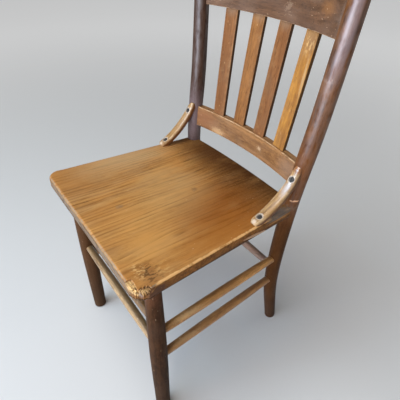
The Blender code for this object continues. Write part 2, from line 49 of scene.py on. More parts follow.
# Seat
SEAT_HEIGHT = 0.450
SEAT_FRONT_HALF = 0.200
SEAT_BACK_HALF = 0.17845
SEAT_DEPTH = 0.374
SEAT_BACK_BOW = 0.0085
SEAT_CORNER_RADIUS = 0.024
SEAT_FALL = 0.028
SEAT_EDGE_ROUND = 0.006
SEAT_UNDER_ROUND = 0.0025
TOP_PLY = 0.003
CORE_PLY = 0.0174
SEAT_THICKNESS = 0.024
PLY_GAP = 0.0003
FRONT_Y = -0.222505
TOP_EDGE_STEPS = 7
TOP_INNER_INSETS = (0.004, 0.010)
CORE_SIDE_DEPTHS = (0.017, 0.013, 0.0095, 0.0075, 0.006, 0.0048, 0.0039)
CORE_SIDE_WEAR = (0.3, 0.0, 0.0, 0.0, 0.0, 0.1, 0.2, 0.35, 0.5)
CORE_INNER_INSETS = (0.0016, 0.0026, 0.004, 0.0056, 0.0075, 0.0095, 0.0115, 0.0135, 0.016, 0.0185, 0.021)
CORE_INNER_WEAR = 0.3
CORE_LEAST = 0.001
BOTTOM_EDGE_LIFTS = (0.00001, 0.0004, 0.0012)
BOTTOM_TOP_DROP = 0.0004
BOTTOM_WEAR = (0.6, 1.0, 0.7, 0.2, 0.0)
CORNER_STEPS = 14
SIDE_STEPS = 24
BACK_STEPS = 30
NOTCH_STEPS = 14
NOTCH_SEARCH_BACK = 0.30
NOTCH_SEARCH_ACROSS = 0.10
NOTCH_SEARCH_STEPS = 500

# Front legs
LEG_TOP_SPREAD = 0.1688
LEG_TOP_SETBACK = 0.0435
LEG_SPLAY = 0.0029
LEG_RAKE = 0.001
LEG_BELLY_HEIGHT = 0.215
LEG_FOOT_RADIUS = 0.0156
LEG_BELLY_RADIUS = 0.0176
LEG_TOP_RADIUS = 0.0147
FOOT_EASING = 0.003
LEG_STEPS = 70
UPRIGHT_SIDES = 56

# Back posts
POST_HEIGHTS = (0.0, 0.202, 0.435, 0.627, 0.870)
POST_SPREADS = (0.1389, 0.1521, 0.1672, 0.1774, 0.1898)
POST_SETBACKS = (0.4185, 0.3736, 0.3679, 0.3877, 0.4035)
POST_RADIUS_HEIGHTS = (0.0, 0.150, 0.435, 0.560, 0.870)
POST_RADII = (0.0138, 0.0155, 0.0160, 0.0172, 0.0155)
POST_DOME = 0.010
POST_DOME_SHARE = 0.94
POST_DOME_STEPS = 9
POST_TIP_RADIUS = 0.0006
POST_STEPS = 120

# Rails and slats
RAIL_THICKNESS = 0.017
CREST_BOTTOM = 0.746
CREST_END_HEIGHT = 0.100
CREST_ARCH = 0.018
CREST_SAG = 0.031
CREST_SETBACK = 0.003
CREST_EDGE_ROUND = 0.006
LOWER_RAIL_BOTTOM = 0.4807
LOWER_RAIL_TOP = 0.5271
LOWER_RAIL_SAG = 0.0195
RAIL_EDGE_ROUND = 0.0022
RAIL_EDGE_BLEND = 0.0008
GROOVE_WIDTH = 0.009
GROOVE_DEPTH = 0.010
FILLER_LINE_WIDTH = 0.0022
FILLER_LINE_DEPTH = 0.0060
FILLER_LINE_WEAR = 0.3
GROOVE_EDGE_WEAR = 0.5
RAIL_PAST_AXIS = 0.003
RAIL_SECTION_SPREAD = POST_SPREADS[3]
RAIL_STEPS = 72
RAIL_SECTION_STEPS = 6
SLAT_WIDTH = 0.032
SLAT_THICKNESS = 0.008
SLAT_EASING = 0.0014
SLAT_TOP_SPACING = 0.0708
SLAT_BOTTOM_SPACING = 0.0636
SLAT_PLACES = (-1.5, -0.5, 0.5, 1.5)
SLAT_TONES = (0.0, 0.20, 0.0, 1.0)
SLAT_STEPS = 24
SLAT_EASING_STEPS = 4
SLAT_GRAIN_SHARE = 0.2
SLOPE_STEP = 0.001

# Hip braces: where a size has two values, 1 is the right brace and -1 the left
BRACE_WIDTH = 0.0215
BRACE_END_WIDTH = 0.0095
BRACE_END_SHARE = 0.10
BRACE_THICKNESS = 0.013
BRACE_LENGTH = 0.135
BRACE_EASING = 0.0040
BRACE_NOSE_SHARE = 0.07
BRACE_NOSE_DROP = 0.0045
BRACE_CROWN = 0.0014
BRACE_TAPER_START = 0.45
BRACE_TAPER = 0.0060
BRACE_LEAST_HALF = 0.0050
BRACE_HEAD_WIDTH = {1: 0.0150, -1: 0.0095}
BRACE_REACH = {1: 1.055, -1: 1.0}
# The brace's sides and back darken from here: partly a darker finish, partly painted shade
BRACE_SIDE_START = 0.0022
BRACE_SIDE_BLEND = 0.0022
BRACE_FOOT_X = {1: 0.1742, -1: 0.1747}
BRACE_HEAD_X = {1: 0.1767, -1: 0.1687}
BRACE_FOOT_SETBACK = {1: 0.2552, -1: 0.2695}
BRACE_TOP = {1: 0.5265, -1: 0.5370}
BRACE_FOOT_LIP = 0.0045
BRACE_TOP_LIP = 0.0025
BRACE_SAG = 0.0120
BRACE_SCREW_SHARES = (0.139, 0.8465)
BRACE_STEPS = 200
BRACE_FLATS = (18, 4)
BRACE_EASING_STEPS = 6

# Stretchers
FRONT_UPPER_HEIGHT = 0.311
FRONT_LOWER_HEIGHT = 0.2365
SIDE_UPPER_HEIGHT = 0.278
SIDE_LOWER_HEIGHT = 0.200
BACK_STRETCHER_HEIGHT = 0.238
STRETCHER_END_RADIUS = 0.0078
STRETCHER_MIDDLE_RADIUS = 0.0097
BACK_STRETCHER_MIDDLE_RADIUS = 0.0094
STRETCHER_SWELL_POWER = 0.8
STRETCHER_STEPS = 48
STRETCHER_SIDES = 32

# Screws
SCREW_HEAD_RADIUS = 0.0045
SCREW_SHANK_RADIUS = 0.0023
SCREW_HEAD_DEPTH = 0.0025
SCREW_SLOT_WIDTH = 0.0012
SCREW_SLOT_DEPTH = 0.0013
SCREW_SINK = 0.0013
SCREW_HOLE_RADIUS = 0.0060
SCREW_HOLE_WALL = 0.0007
SCREW_HOLE_DEPTH = 0.0030
# Reach of the dark disc painted over each screw hole: painted shade in the sunk hole
SCREW_HOLE_SHADE_RADIUS = 0.0064
SCREW_RING_RADIUS = 0.0088
BRACE_SCREW_LENGTH = 0.024
SCREW_HEAD_SIDES = 28
SCREW_SHANK_SIDES = 16
SCREW_POINT_SHARE = 0.3

# Broken near front corner, in plan: across the seat and back from its front edge
TORN_PLY_EDGE = (
    (0.1640, 0.0000),
    (0.1655, 0.0100),
    (0.1760, 0.0112),
    (0.1905, 0.0090),
    (0.1880, 0.0150),
    (0.1915, 0.0180),
    (0.1885, 0.0205),
    (0.1925, 0.0235),
    (0.1900, 0.0255),
    (0.1975, 0.0290),
)
TORN_EDGE_END = 0.0305
TORN_EDGE_STEP = 0.0012
TORN_EDGE_JITTER = 0.0006
BREAK_START = 0.1875
BREAK_SLOPE = 0.85
BREAK_RIDGE = 0.0011
BREAK_RIDGE_SPACING = 0.0042
BREAK_RIDGE_SLANT = 90.0
BREAK_ROUGH_START = 0.160
BREAK_ROUGH_BLEND = 0.02
BREAK_ACROSS = 0.15
BREAK_BACK = 0.03
BREAK_CHIP = 0.0035
BREAK_CHIP_LEAST = 0.35
BREAK_STEPS = 34
BREAK_RAMPS = (8, 6)

# Splinters along the break: their path goes across, back and down
SPLINTER_PATH = (
    (0.186, 0.0118, 0.0035),
    (0.1915, 0.0165, 0.0045),
    (0.1915, 0.0215, 0.0045),
    (0.193, 0.0260, 0.0050),
)
SPLINTER_COUNT = 16
SPLINTER_LENGTH = 0.011
SPLINTER_THICKNESS = 0.0009
SPLINTER_SIDES = 5
SPLINTER_STEPS = 3
SPLINTER_TIP_SHARE = 0.25
SPLINTER_LEAN = ((-0.30, 1.45, -0.25), (0.30, 1.95, 0.25))
SPLINTER_SCALE = ((0.5, 0.5, 0.45), (1.4, 1.4, 1.0))
SPLINTER_SEED_STEP = 3.0

# Strip of bottom ply split off the near side
STRIP_START = 0.226
STRIP_END = 0.283
STRIP_START_DEPTH = 0.0140
STRIP_END_DEPTH = 0.0185
STRIP_STAND_OFF = 0.0016
STRIP_HEIGHT = 0.0044
STRIP_THICKNESS = 0.0022
STRIP_GAP = 0.0002
STRIP_EASING = 0.0004
STRIP_TAPER_START = 0.06
STRIP_TAPER_SPAN = 0.9
STRIP_STEPS = 30
STRIP_FLATS = (1, 2)
STRIP_EASING_STEPS = 2

# The seat's rim, partly rubbed wear and partly painted highlight: how far in it is palest, its width, and how
# far back its parts begin
RIM_INSET = 0.0021
RIM_WIDTH = 0.0013
NEAR_RIM_WIDTH = 0.0024
NEAR_RIM_START = 0.034
REAR_EDGE_START = 0.345
REAR_EDGE_BLEND = 0.030

# Marks in the finishes, where painted shade and painted sheen go, and how deep the wood's and the steel's
# fine relief is
STRETCHER_PAINTED_SHADE_SIDE = (0.0, 0.79, 0.62)
PAINTED_SHEEN_SIDE = (0.578, -0.816, 0.0)
WORN_STREAK_SHARE = 0.20
WORN_STREAK_OFFSET = (0.005, 0.0, 0.007)
WORN_STREAK_REACH = (0.007, 0.055, 0.007)
WOOD_RELIEF = 0.0005
STEEL_RELIEF = 0.0002

# Edges sharper than these angles stay sharp, in degrees
ROUND_SHARP_ANGLE = 40
BOARD_SHARP_ANGLE = 35
SEAT_SHARP_ANGLE = 32
SCREW_SHARP_ANGLE = 30

# The first board that pieces of each kind are cut from: another board has another figure
POST_BOARD = 1
LEG_BOARD = 3
STRETCHER_BOARD = 5
CREST_BOARD = 10
LOWER_RAIL_BOARD = 11
SLAT_BOARD = 12
BRACE_BOARD = 20
TOP_BOARD = 30
CORE_BOARD = 31
BOTTOM_BOARD = 32
SPLINTER_BOARD = 33
STRIP_BOARD = 34
BOARD_SHIFT = (0.37, 0.21, 0.53)

# Stage and sky
FLOOR_HALF = 6.0
FLOOR_COLOUR = (0.70, 0.693, 0.682)
FLOOR_DULLNESS = 0.9
FLOOR_GLOSS = 0.1
FLOOR_LIFT = (0.42, 0.42, 0.42)
WALL_COLOUR = (0.56, 0.56, 0.56)
FLOOR_LIFT_START = 0.3
FLOOR_LIFT_END = 3.6
SKY_COLOUR = (0.94, 0.97, 1.0)
SKY_STRENGTH = 0.17

# Lamps: place, target, size in metres, watts, colour and spread in degrees
LAMPS = {
    "window_lamp": ((0.34, -1.75, 0.66), (0.1, 0.15, 0.55), (1.4, 0.9), 10.4, (0.77, 0.84, 1.0), 90),
    "far_window_lamp": ((-1.15, -1.75, 0.44), (-0.1, 0.15, 0.50), (1.5, 0.8), 4.5, (0.80, 0.86, 1.0), 180),
    "high_lamp": ((-0.55, -1.60, 1.85), (0.10, 0.1, 0.5), (0.8, 0.5), 15.0, (0.55, 0.79, 1.0), 180),
    "near_lamp": ((1.15, -1.45, 1.10), (0.15, 0.0, 0.35), (0.6, 0.6), 9.0, (1.0, 0.95, 0.88), 180),
    "back_lamp": ((1.00, 2.60, 1.10), (0.0, 0.20, 0.55), (1.2, 0.8), 8.0, (1.0, 0.98, 0.95), 180),
    "overhead_lamp": ((-0.3, -0.7, 2.6), (0.0, 0.0, 0.45), (1.3, 1.3), 31.0, (1.0, 0.98, 0.94), 180),
}

# Camera, with its angles in degrees and its lens and sensor in millimetres
CAMERA_PLACE = (0.5296, -0.3587, 0.8974)
CAMERA_YAW = 52.823
CAMERA_PITCH = 37.558
CAMERA_ROLL = -1.446
CAMERA_LENS = 33.49
CAMERA_NEAREST = 0.01
SENSOR_WIDTH = 36.0


# Shape rules, mostly as in the part's source


def smooth_through(heights, values):
    """A smooth curve through the values: at each height it leaves along its neighbours' slope."""
    heights = np.asarray(heights, float)
    values = np.asarray(values, float)
    slopes = np.gradient(values, heights)
    slopes[1:-1] = (values[2:] - values[:-2]) / (heights[2:] - heights[:-2])

    def value(z):
        z = np.asarray(z, float)
        i = np.clip(np.searchsorted(heights, z) - 1, 0, len(heights) - 2)
        run = heights[i + 1] - heights[i]
        t = (z - heights[i]) / run
        start = (1 + 2 * t) * (1 - t) ** 2 * values[i] + t * (1 - t) ** 2 * run * slopes[i]
        return start + t * t * (3 - 2 * t) * values[i + 1] + t * t * (t - 1) * run * slopes[i + 1]

    return value


post_spread = smooth_through(POST_HEIGHTS, POST_SPREADS)
post_setback = smooth_through(POST_HEIGHTS, POST_SETBACKS)


def post_radius(z):
    return np.interp(z, POST_RADIUS_HEIGHTS, POST_RADII)


def post_y(z):
    return FRONT_Y + post_setback(z)


def post_axis(side, z):
    return np.array([side * post_spread(z), post_y(z), z], float)


def leg_axis(side, z):
    share = 1 - z / (SEAT_HEIGHT - SEAT_THICKNESS)
    return np.array([
        side * (LEG_TOP_SPREAD + LEG_SPLAY * share),
        FRONT_Y + LEG_TOP_SETBACK + LEG_RAKE * share,
        z,
    ])


def seat_top(setback):
    return SEAT_HEIGHT - SEAT_FALL * setback


LEG_SHOULDER = seat_top(LEG_TOP_SETBACK + LEG_TOP_RADIUS) - SEAT_THICKNESS - PLY_GAP
leg_radius = smooth_through(
    (0.0, LEG_BELLY_HEIGHT, LEG_SHOULDER), (LEG_FOOT_RADIUS, LEG_BELLY_RADIUS, LEG_TOP_RADIUS)
)


def seat_side(setback):
    """Half the seat's width at this distance back from its front edge."""
    return SEAT_FRONT_HALF + (SEAT_BACK_HALF - SEAT_FRONT_HALF) * setback / SEAT_DEPTH


def back_surface(sag, setback):
    """The middle of a bent back rail: how far back it lies at each place across and height."""

    def middle(x, z):
        return post_y(z) + setback + sag * (1 - (x / post_spread(z)) ** 2)

    return middle


crest_surface = back_surface(CREST_SAG, CREST_SETBACK)
lower_surface = back_surface(LOWER_RAIL_SAG, 0.0)


def crest_top(x):
    return CREST_BOTTOM + CREST_END_HEIGHT + CREST_ARCH * (1 - (x / POST_SPREADS[-1]) ** 2)


def brace_face(side, share):
    """A point on the brace's hollow face, the direction it runs and the direction into the wood."""
    setback = BRACE_FOOT_SETBACK[side]
    top = BRACE_TOP[side]
    foot = np.array([side * BRACE_FOOT_X[side], FRONT_Y + setback, seat_top(setback) + BRACE_FOOT_LIP])
    head_y = post_y(top) - post_radius(top) - BRACE_TOP_LIP
    head = np.array([side * BRACE_HEAD_X[side], head_y, top])
    chord = head - foot
    into = np.array([0.0, chord[2], -chord[1]])
    into /= np.linalg.norm(into)
    point = foot + chord * share + into * 4 * BRACE_SAG * share * (1 - share)
    run = chord + into * 4 * BRACE_SAG * (1 - 2 * share)
    normal = np.array([0.0, run[2], -run[1]])
    return point, run / np.linalg.norm(run), normal / np.linalg.norm(normal)


def brace_nose(share):
    """How far the strip's hollow face rounds away into the wood at each end."""
    inward = min(share / BRACE_NOSE_SHARE, (1 - share) / BRACE_NOSE_SHARE, 1.0)
    return BRACE_NOSE_DROP * (1 - math.sqrt(1 - (1 - inward) ** 2))


def brace_taper(share):
    """How far the strip's outer edge draws in towards the head."""
    return BRACE_TAPER * max(share - BRACE_TAPER_START, 0.0) ** 2 / (1 - BRACE_TAPER_START) ** 2


def brace_half_width(side, share):
    """Half the strip's width: it is rounded at both ends and draws in towards the head."""
    inward = min(share / BRACE_END_SHARE, (1 - share) / BRACE_END_SHARE, 1.0)
    rounded = math.sqrt(1 - (1 - inward) ** 2)
    end = BRACE_END_WIDTH if share < 0.5 else BRACE_HEAD_WIDTH[side]
    full = (end + (BRACE_WIDTH - end) * rounded) / 2
    return max(full - brace_taper(share) / 2, BRACE_LEAST_HALF)


# Mesh helpers


def coordinates(mesh):
    values = np.empty(len(mesh.vertices) * 3, np.float32)
    mesh.vertices.foreach_get("co", values)
    return values.reshape(-1, 3).astype(float)


def set_coordinates(mesh, place):
    mesh.vertices.foreach_set("co", place.astype(np.float32).ravel())
    mesh.update()


def store(mesh, name, values):
    """Keeps a number or a vector at each point of a mesh."""
    values = np.asarray(values, np.float32)
    kind, field = ("FLOAT", "value") if values.ndim == 1 else ("FLOAT_VECTOR", "vector")
    mesh.attributes.new(name, kind, "POINT").data.foreach_set(field, values.ravel())


def store_grain(mesh, across, through, along, board):
    """Keeps each point's place in the board it was cut from, so that the grain follows the wood."""
    store(mesh, "grain", np.column_stack([across, through, along]) + np.array(BOARD_SHIFT) * board)


def ring_mesh(name, rings):
    """A closed mesh through rings of equal length, capped at both ends."""
    count = len(rings[0])
    points = np.concatenate(rings)
    faces = [list(range(count))[::-1]]
    for level in range(len(rings) - 1):
        low = level * count
        for i in range(count):
            j = (i + 1) % count
            faces.append([low + i, low + j, low + count + j, low + count + i])
    faces.append(list(range(len(points) - count, len(points))))
    mesh = bpy.data.meshes.new(name)
    mesh.from_pydata(points.tolist(), [], faces)
    mesh.validate()
    return mesh


def face_out(mesh):
    """Turns a closed mesh the right way round if its faces point inwards."""
    mesh.calc_loop_triangles()
    points = coordinates(mesh)
    corners = np.array([triangle.vertices[:] for triangle in mesh.loop_triangles])
    volume = np.einsum(
        "ij,ij->i", points[corners[:, 0]], np.cross(points[corners[:, 1]], points[corners[:, 2]])
    ).sum()
    if volume < 0:
        mesh.flip_normals()


def rounded_section(width, thickness, easing, flats, steps):
    """Points round a board's section with eased edges, and 1 on each edge, 0 on the flats."""
    arcs = []
    half = np.array([width / 2 - easing, thickness / 2 - easing])
    for quarter, corner in enumerate(((1, 1), (-1, 1), (-1, -1), (1, -1))):
        turns = np.linspace(quarter * math.pi / 2, (quarter + 1) * math.pi / 2, steps + 1)
        arcs.append([half * corner + easing * np.array([math.cos(t), math.sin(t)]) for t in turns])
    points = []
    edges = []
    for quarter, arc in enumerate(arcs):
        follower = arcs[(quarter + 1) % 4][0]
        between = np.linspace(arc[-1], follower, flats[quarter % 2] + 2)[1:-1]
        points.extend([*arc, *between])
        edges.extend([1.0] * len(arc) + [0.0] * len(between))
    return np.array(points), np.array(edges)


def new_object(name, data):
    thing = bpy.data.objects.new(name, data)
    bpy.context.scene.collection.objects.link(thing)
    return thing


def finish_piece(name, mesh, material, nodes, sharp_angle=None):
    """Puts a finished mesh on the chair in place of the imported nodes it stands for."""
    if sharp_angle:
        mesh.shade_smooth()
        mesh.set_sharp_from_angle(angle=math.radians(sharp_angle))
    face_out(mesh)
    mesh.materials.clear()
    mesh.materials.append(material)
    piece = new_object(name, mesh)
    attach(piece, "root")
    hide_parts(*nodes)


# Node helpers


SOCKET_KINDS = {
    "value": "NodeSocketFloat",
    "colour": "NodeSocketColor",
    "vector": "NodeSocketVector",
    "count": "NodeSocketInt",
    "shape": "NodeSocketGeometry",
    "finish": "NodeSocketMaterial",
}

# A Mix node's two inputs and its output by number, because its kinds share their names
COLOUR_MIX = (6, 7, 2)
VECTOR_MIX = (4, 5, 1)


class Nodes:
    """A node tree being built: most methods add a node and give its output."""

    def __init__(self, tree):
        self.tree = tree

    def feed(self, socket, value):
        """Links another node's output to the socket, or sets a plain value on it."""
        if isinstance(value, bpy.types.NodeSocket):
            self.tree.links.new(value, socket)
        else:
            socket.default_value = value

    def add(self, kind, inputs=None, **settings):
        node = self.tree.nodes.new(kind)
        for name, value in settings.items():
            setattr(node, name, value)
        for name, value in (inputs or {}).items():
            self.feed(node.inputs[name], value)
        return node

    def math(self, operation, *values, clamp=False):
        inputs = dict(enumerate(values))
        return self.add("ShaderNodeMath", inputs, operation=operation, use_clamp=clamp).outputs[0]

    def times(self, first, second):
        return self.math("MULTIPLY", first, second)

    def times_plus(self, first, second, third, clamp=False):
        """The first two multiplied, plus the third."""
        return self.math("MULTIPLY_ADD", first, second, third, clamp=clamp)

    def minus(self, first, second):
        return self.math("SUBTRACT", first, second)

    def vector_math(self, operation, *values):
        node = self.add("ShaderNodeVectorMath", dict(enumerate(values)), operation=operation)
        return node.outputs["Value" if operation in ("LENGTH", "DOT_PRODUCT") else "Vector"]

    def part(self, vector, axis):
        """One of a vector's three parts."""
        return self.add("ShaderNodeSeparateXYZ", {0: vector}).outputs[axis]

    def rise(self, value, low, high):
        """0 below low, 1 above high and a soft step between."""
        inputs = {"Value": value, "From Min": low, "From Max": high}
        return self.add("ShaderNodeMapRange", inputs, interpolation_type="SMOOTHSTEP").outputs["Result"]

    def blend(self, share, first, second, kind="MIX"):
        """A share of the second colour in the first."""
        low, high, result = COLOUR_MIX
        inputs = {"Factor": share, low: first, high: second}
        return self.add("ShaderNodeMix", inputs, data_type="RGBA", blend_type=kind).outputs[result]

    def noise(self, place, across, along, detail=2.0, roughness=0.5):
        """Noise with so many features per metre across the wood and along it."""
        scaled = self.vector_math("MULTIPLY", place, (across, across, along))
        inputs = {"Vector": scaled, "Scale": 1.0, "Detail": detail, "Roughness": roughness}
        return self.add("ShaderNodeTexNoise", inputs).outputs["Fac"]

    def bump(self, shader, height, strength, distance):
        inputs = {"Height": height, "Strength": strength, "Distance": distance}
        self.feed(shader.inputs["Normal"], self.add("ShaderNodeBump", inputs).outputs[0])


def new_tree(name, kind, inputs, outputs):
    """A node group and its two ends, with named inputs and outputs listed by their kind."""
    tree = bpy.data.node_groups.new(name, kind)
    for direction, sockets in (("INPUT", inputs), ("OUTPUT", outputs)):
        for sort, labels in sockets.items():
            for label in labels:
                tree.interface.new_socket(name=label, in_out=direction, socket_type=SOCKET_KINDS[sort])
    start = tree.nodes.new("NodeGroupInput").outputs
    finish = tree.nodes.new("NodeGroupOutput").inputs
    return Nodes(tree), start, finish


def new_material(name):
    """A material with its nodes and its main shader."""
    material = bpy.data.materials.new(name)
    material.use_nodes = True
    return material, Nodes(material.node_tree), material.node_tree.nodes["Principled BSDF"]


# Shared surface effects


RING_SHADE = (0.42, 0.33, 0.26, 1.0)
PORE_SHADE = (0.30, 0.24, 0.20, 1.0)


def ring_lines(nodes, place, waved):
    """Growth rings: each darkens slowly and ends sharply, and it comes and goes along the grain."""
    wobble = nodes.noise(place, 16.0, 4.0)
    level = nodes.times_plus(nodes.part(waved, 0), 105.0, nodes.times(wobble, 2.4))
    level = nodes.times_plus(nodes.part(waved, 1), 90.0, level)
    late = nodes.rise(nodes.math("FRACT", level), 0.48, 0.95)
    shown = nodes.rise(nodes.noise(place, 32.0, 5.0), 0.42, 0.58)
    return nodes.times(late, shown)


def make_oak_figure():
    """Streaks, growth-ring lines and open pores of oak, along the third direction of the wood's own place."""
    nodes, given, result = new_tree(
        "oak_figure",
        "ShaderNodeTree",
        {
            "vector": ["Wood Place"],
            "colour": ["Pale Wood", "Brown Wood"],
            "value": ["Streak Strength", "Ring Strength", "Blotch Strength", "Pore Strength"],
        },
        {"colour": ["Colour"], "value": ["Height"]},
    )
    place = given["Wood Place"]
    wander = nodes.times_plus(nodes.noise(place, 14.0, 3.0), 0.022, -0.011)
    offset = nodes.add("ShaderNodeCombineXYZ", {"X": wander, "Y": wander})
    waved = nodes.vector_math("ADD", place, offset.outputs[0])
    broad = nodes.noise(waved, 75.0, 3.0, 3.0, 0.55)
    fine = nodes.noise(waved, 260.0, 9.0, 2.0, 0.6)
    blotch = nodes.noise(waved, 190.0, 70.0, 3.0, 0.6)
    pores = nodes.rise(nodes.noise(waved, 1500.0, 38.0, 1.0), 0.56, 0.70)
    blotched = nodes.times(nodes.minus(blotch, 0.5), given["Blotch Strength"])
    lines = nodes.math("ADD", nodes.times_plus(broad, 1.7, fine), blotched)
    share = nodes.times_plus(nodes.minus(lines, 1.35), given["Streak Strength"], 0.5, clamp=True)
    colour = nodes.blend(share, given["Pale Wood"], given["Brown Wood"])
    ringed = nodes.times(ring_lines(nodes, place, waved), given["Ring Strength"])
    colour = nodes.blend(ringed, colour, RING_SHADE, "MULTIPLY")
    pored = nodes.times(pores, given["Pore Strength"])
    nodes.feed(result["Colour"], nodes.blend(pored, colour, PORE_SHADE, "MULTIPLY"))
    nodes.feed(result["Height"], nodes.times_plus(pores, -0.7, nodes.times(fine, 0.6)))
    return nodes.tree


def make_soft_patch():
    """A soft-edged patch at one place on the chair, broken up by noise."""
    nodes, given, result = new_tree(
        "soft_patch",
        "ShaderNodeTree",
        {"vector": ["Chair Place", "Centre", "Reach"], "value": ["Softness", "Break Up"]},
        {"value": ["Mask"]},
    )
    away = nodes.vector_math("SUBTRACT", given["Chair Place"], given["Centre"])
    length = nodes.vector_math("LENGTH", nodes.vector_math("DIVIDE", away, given["Reach"]))
    ragged = nodes.minus(nodes.noise(given["Chair Place"], 240.0, 240.0, 4.0, 0.65), 0.5)
    length = nodes.times_plus(ragged, given["Break Up"], length)
    outside = nodes.rise(length, nodes.minus(1.0, given["Softness"]), 1.0)
    nodes.feed(result["Mask"], nodes.minus(1.0, outside))
    return nodes.tree


def make_rubbed_edge():
    """Where handling has rubbed the finish off a board's edges."""
    nodes, given, result = new_tree(
        "rubbed_edge",
        "ShaderNodeTree",
        {"value": ["Edge", "Amount"], "vector": ["Chair Place"]},
        {"value": ["Mask"]},
    )
    uneven = nodes.noise(given["Chair Place"], 60.0, 60.0, 5.0, 0.65)
    reach = nodes.times(given["Edge"], nodes.times_plus(uneven, 2.4, -0.6))
    nodes.feed(result["Mask"], nodes.rise(nodes.times(reach, given["Amount"]), 0.15, 0.75))
    return nodes.tree


def make_scuffs():
    """Small pale nicks and short scratches along the grain, and larger dull marks."""
    nodes, given, result = new_tree(
        "scuffs",
        "ShaderNodeTree",
        {"vector": ["Wood Place"], "value": ["Amount"]},
        {"value": ["Nicks", "Dull Marks"]},
    )
    nicks = nodes.noise(given["Wood Place"], 330.0, 95.0)
    low = nodes.times_plus(given["Amount"], -0.09, 0.76)
    marks = nodes.noise(given["Wood Place"], 26.0, 13.0, 4.0, 0.6)
    nodes.feed(result["Nicks"], nodes.rise(nicks, low, nodes.math("ADD", low, 0.06)))
    nodes.feed(result["Dull Marks"], nodes.rise(marks, 0.50, 0.68))
    return nodes.tree


def make_floor_dust():
    """Grey dust and floor wear that thins out up the feet."""
    nodes, given, result = new_tree(
        "floor_dust",
        "ShaderNodeTree",
        {"vector": ["Chair Place"], "value": ["Height"]},
        {"value": ["Mask"]},
    )
    uneven = nodes.noise(given["Chair Place"], 60.0, 18.0, 4.0, 0.6)
    level = nodes.math("DIVIDE", nodes.part(given["Chair Place"], 2), given["Height"])
    level = nodes.math("ADD", level, nodes.minus(uneven, 0.5))
    nodes.feed(result["Mask"], nodes.minus(1.0, nodes.rise(level, 0.1, 1.0)))
    return nodes.tree


OAK_FIGURE = make_oak_figure()
SOFT_PATCH = make_soft_patch()
RUBBED_EDGE = make_rubbed_edge()
SCUFFS = make_scuffs()
FLOOR_DUST = make_floor_dust()


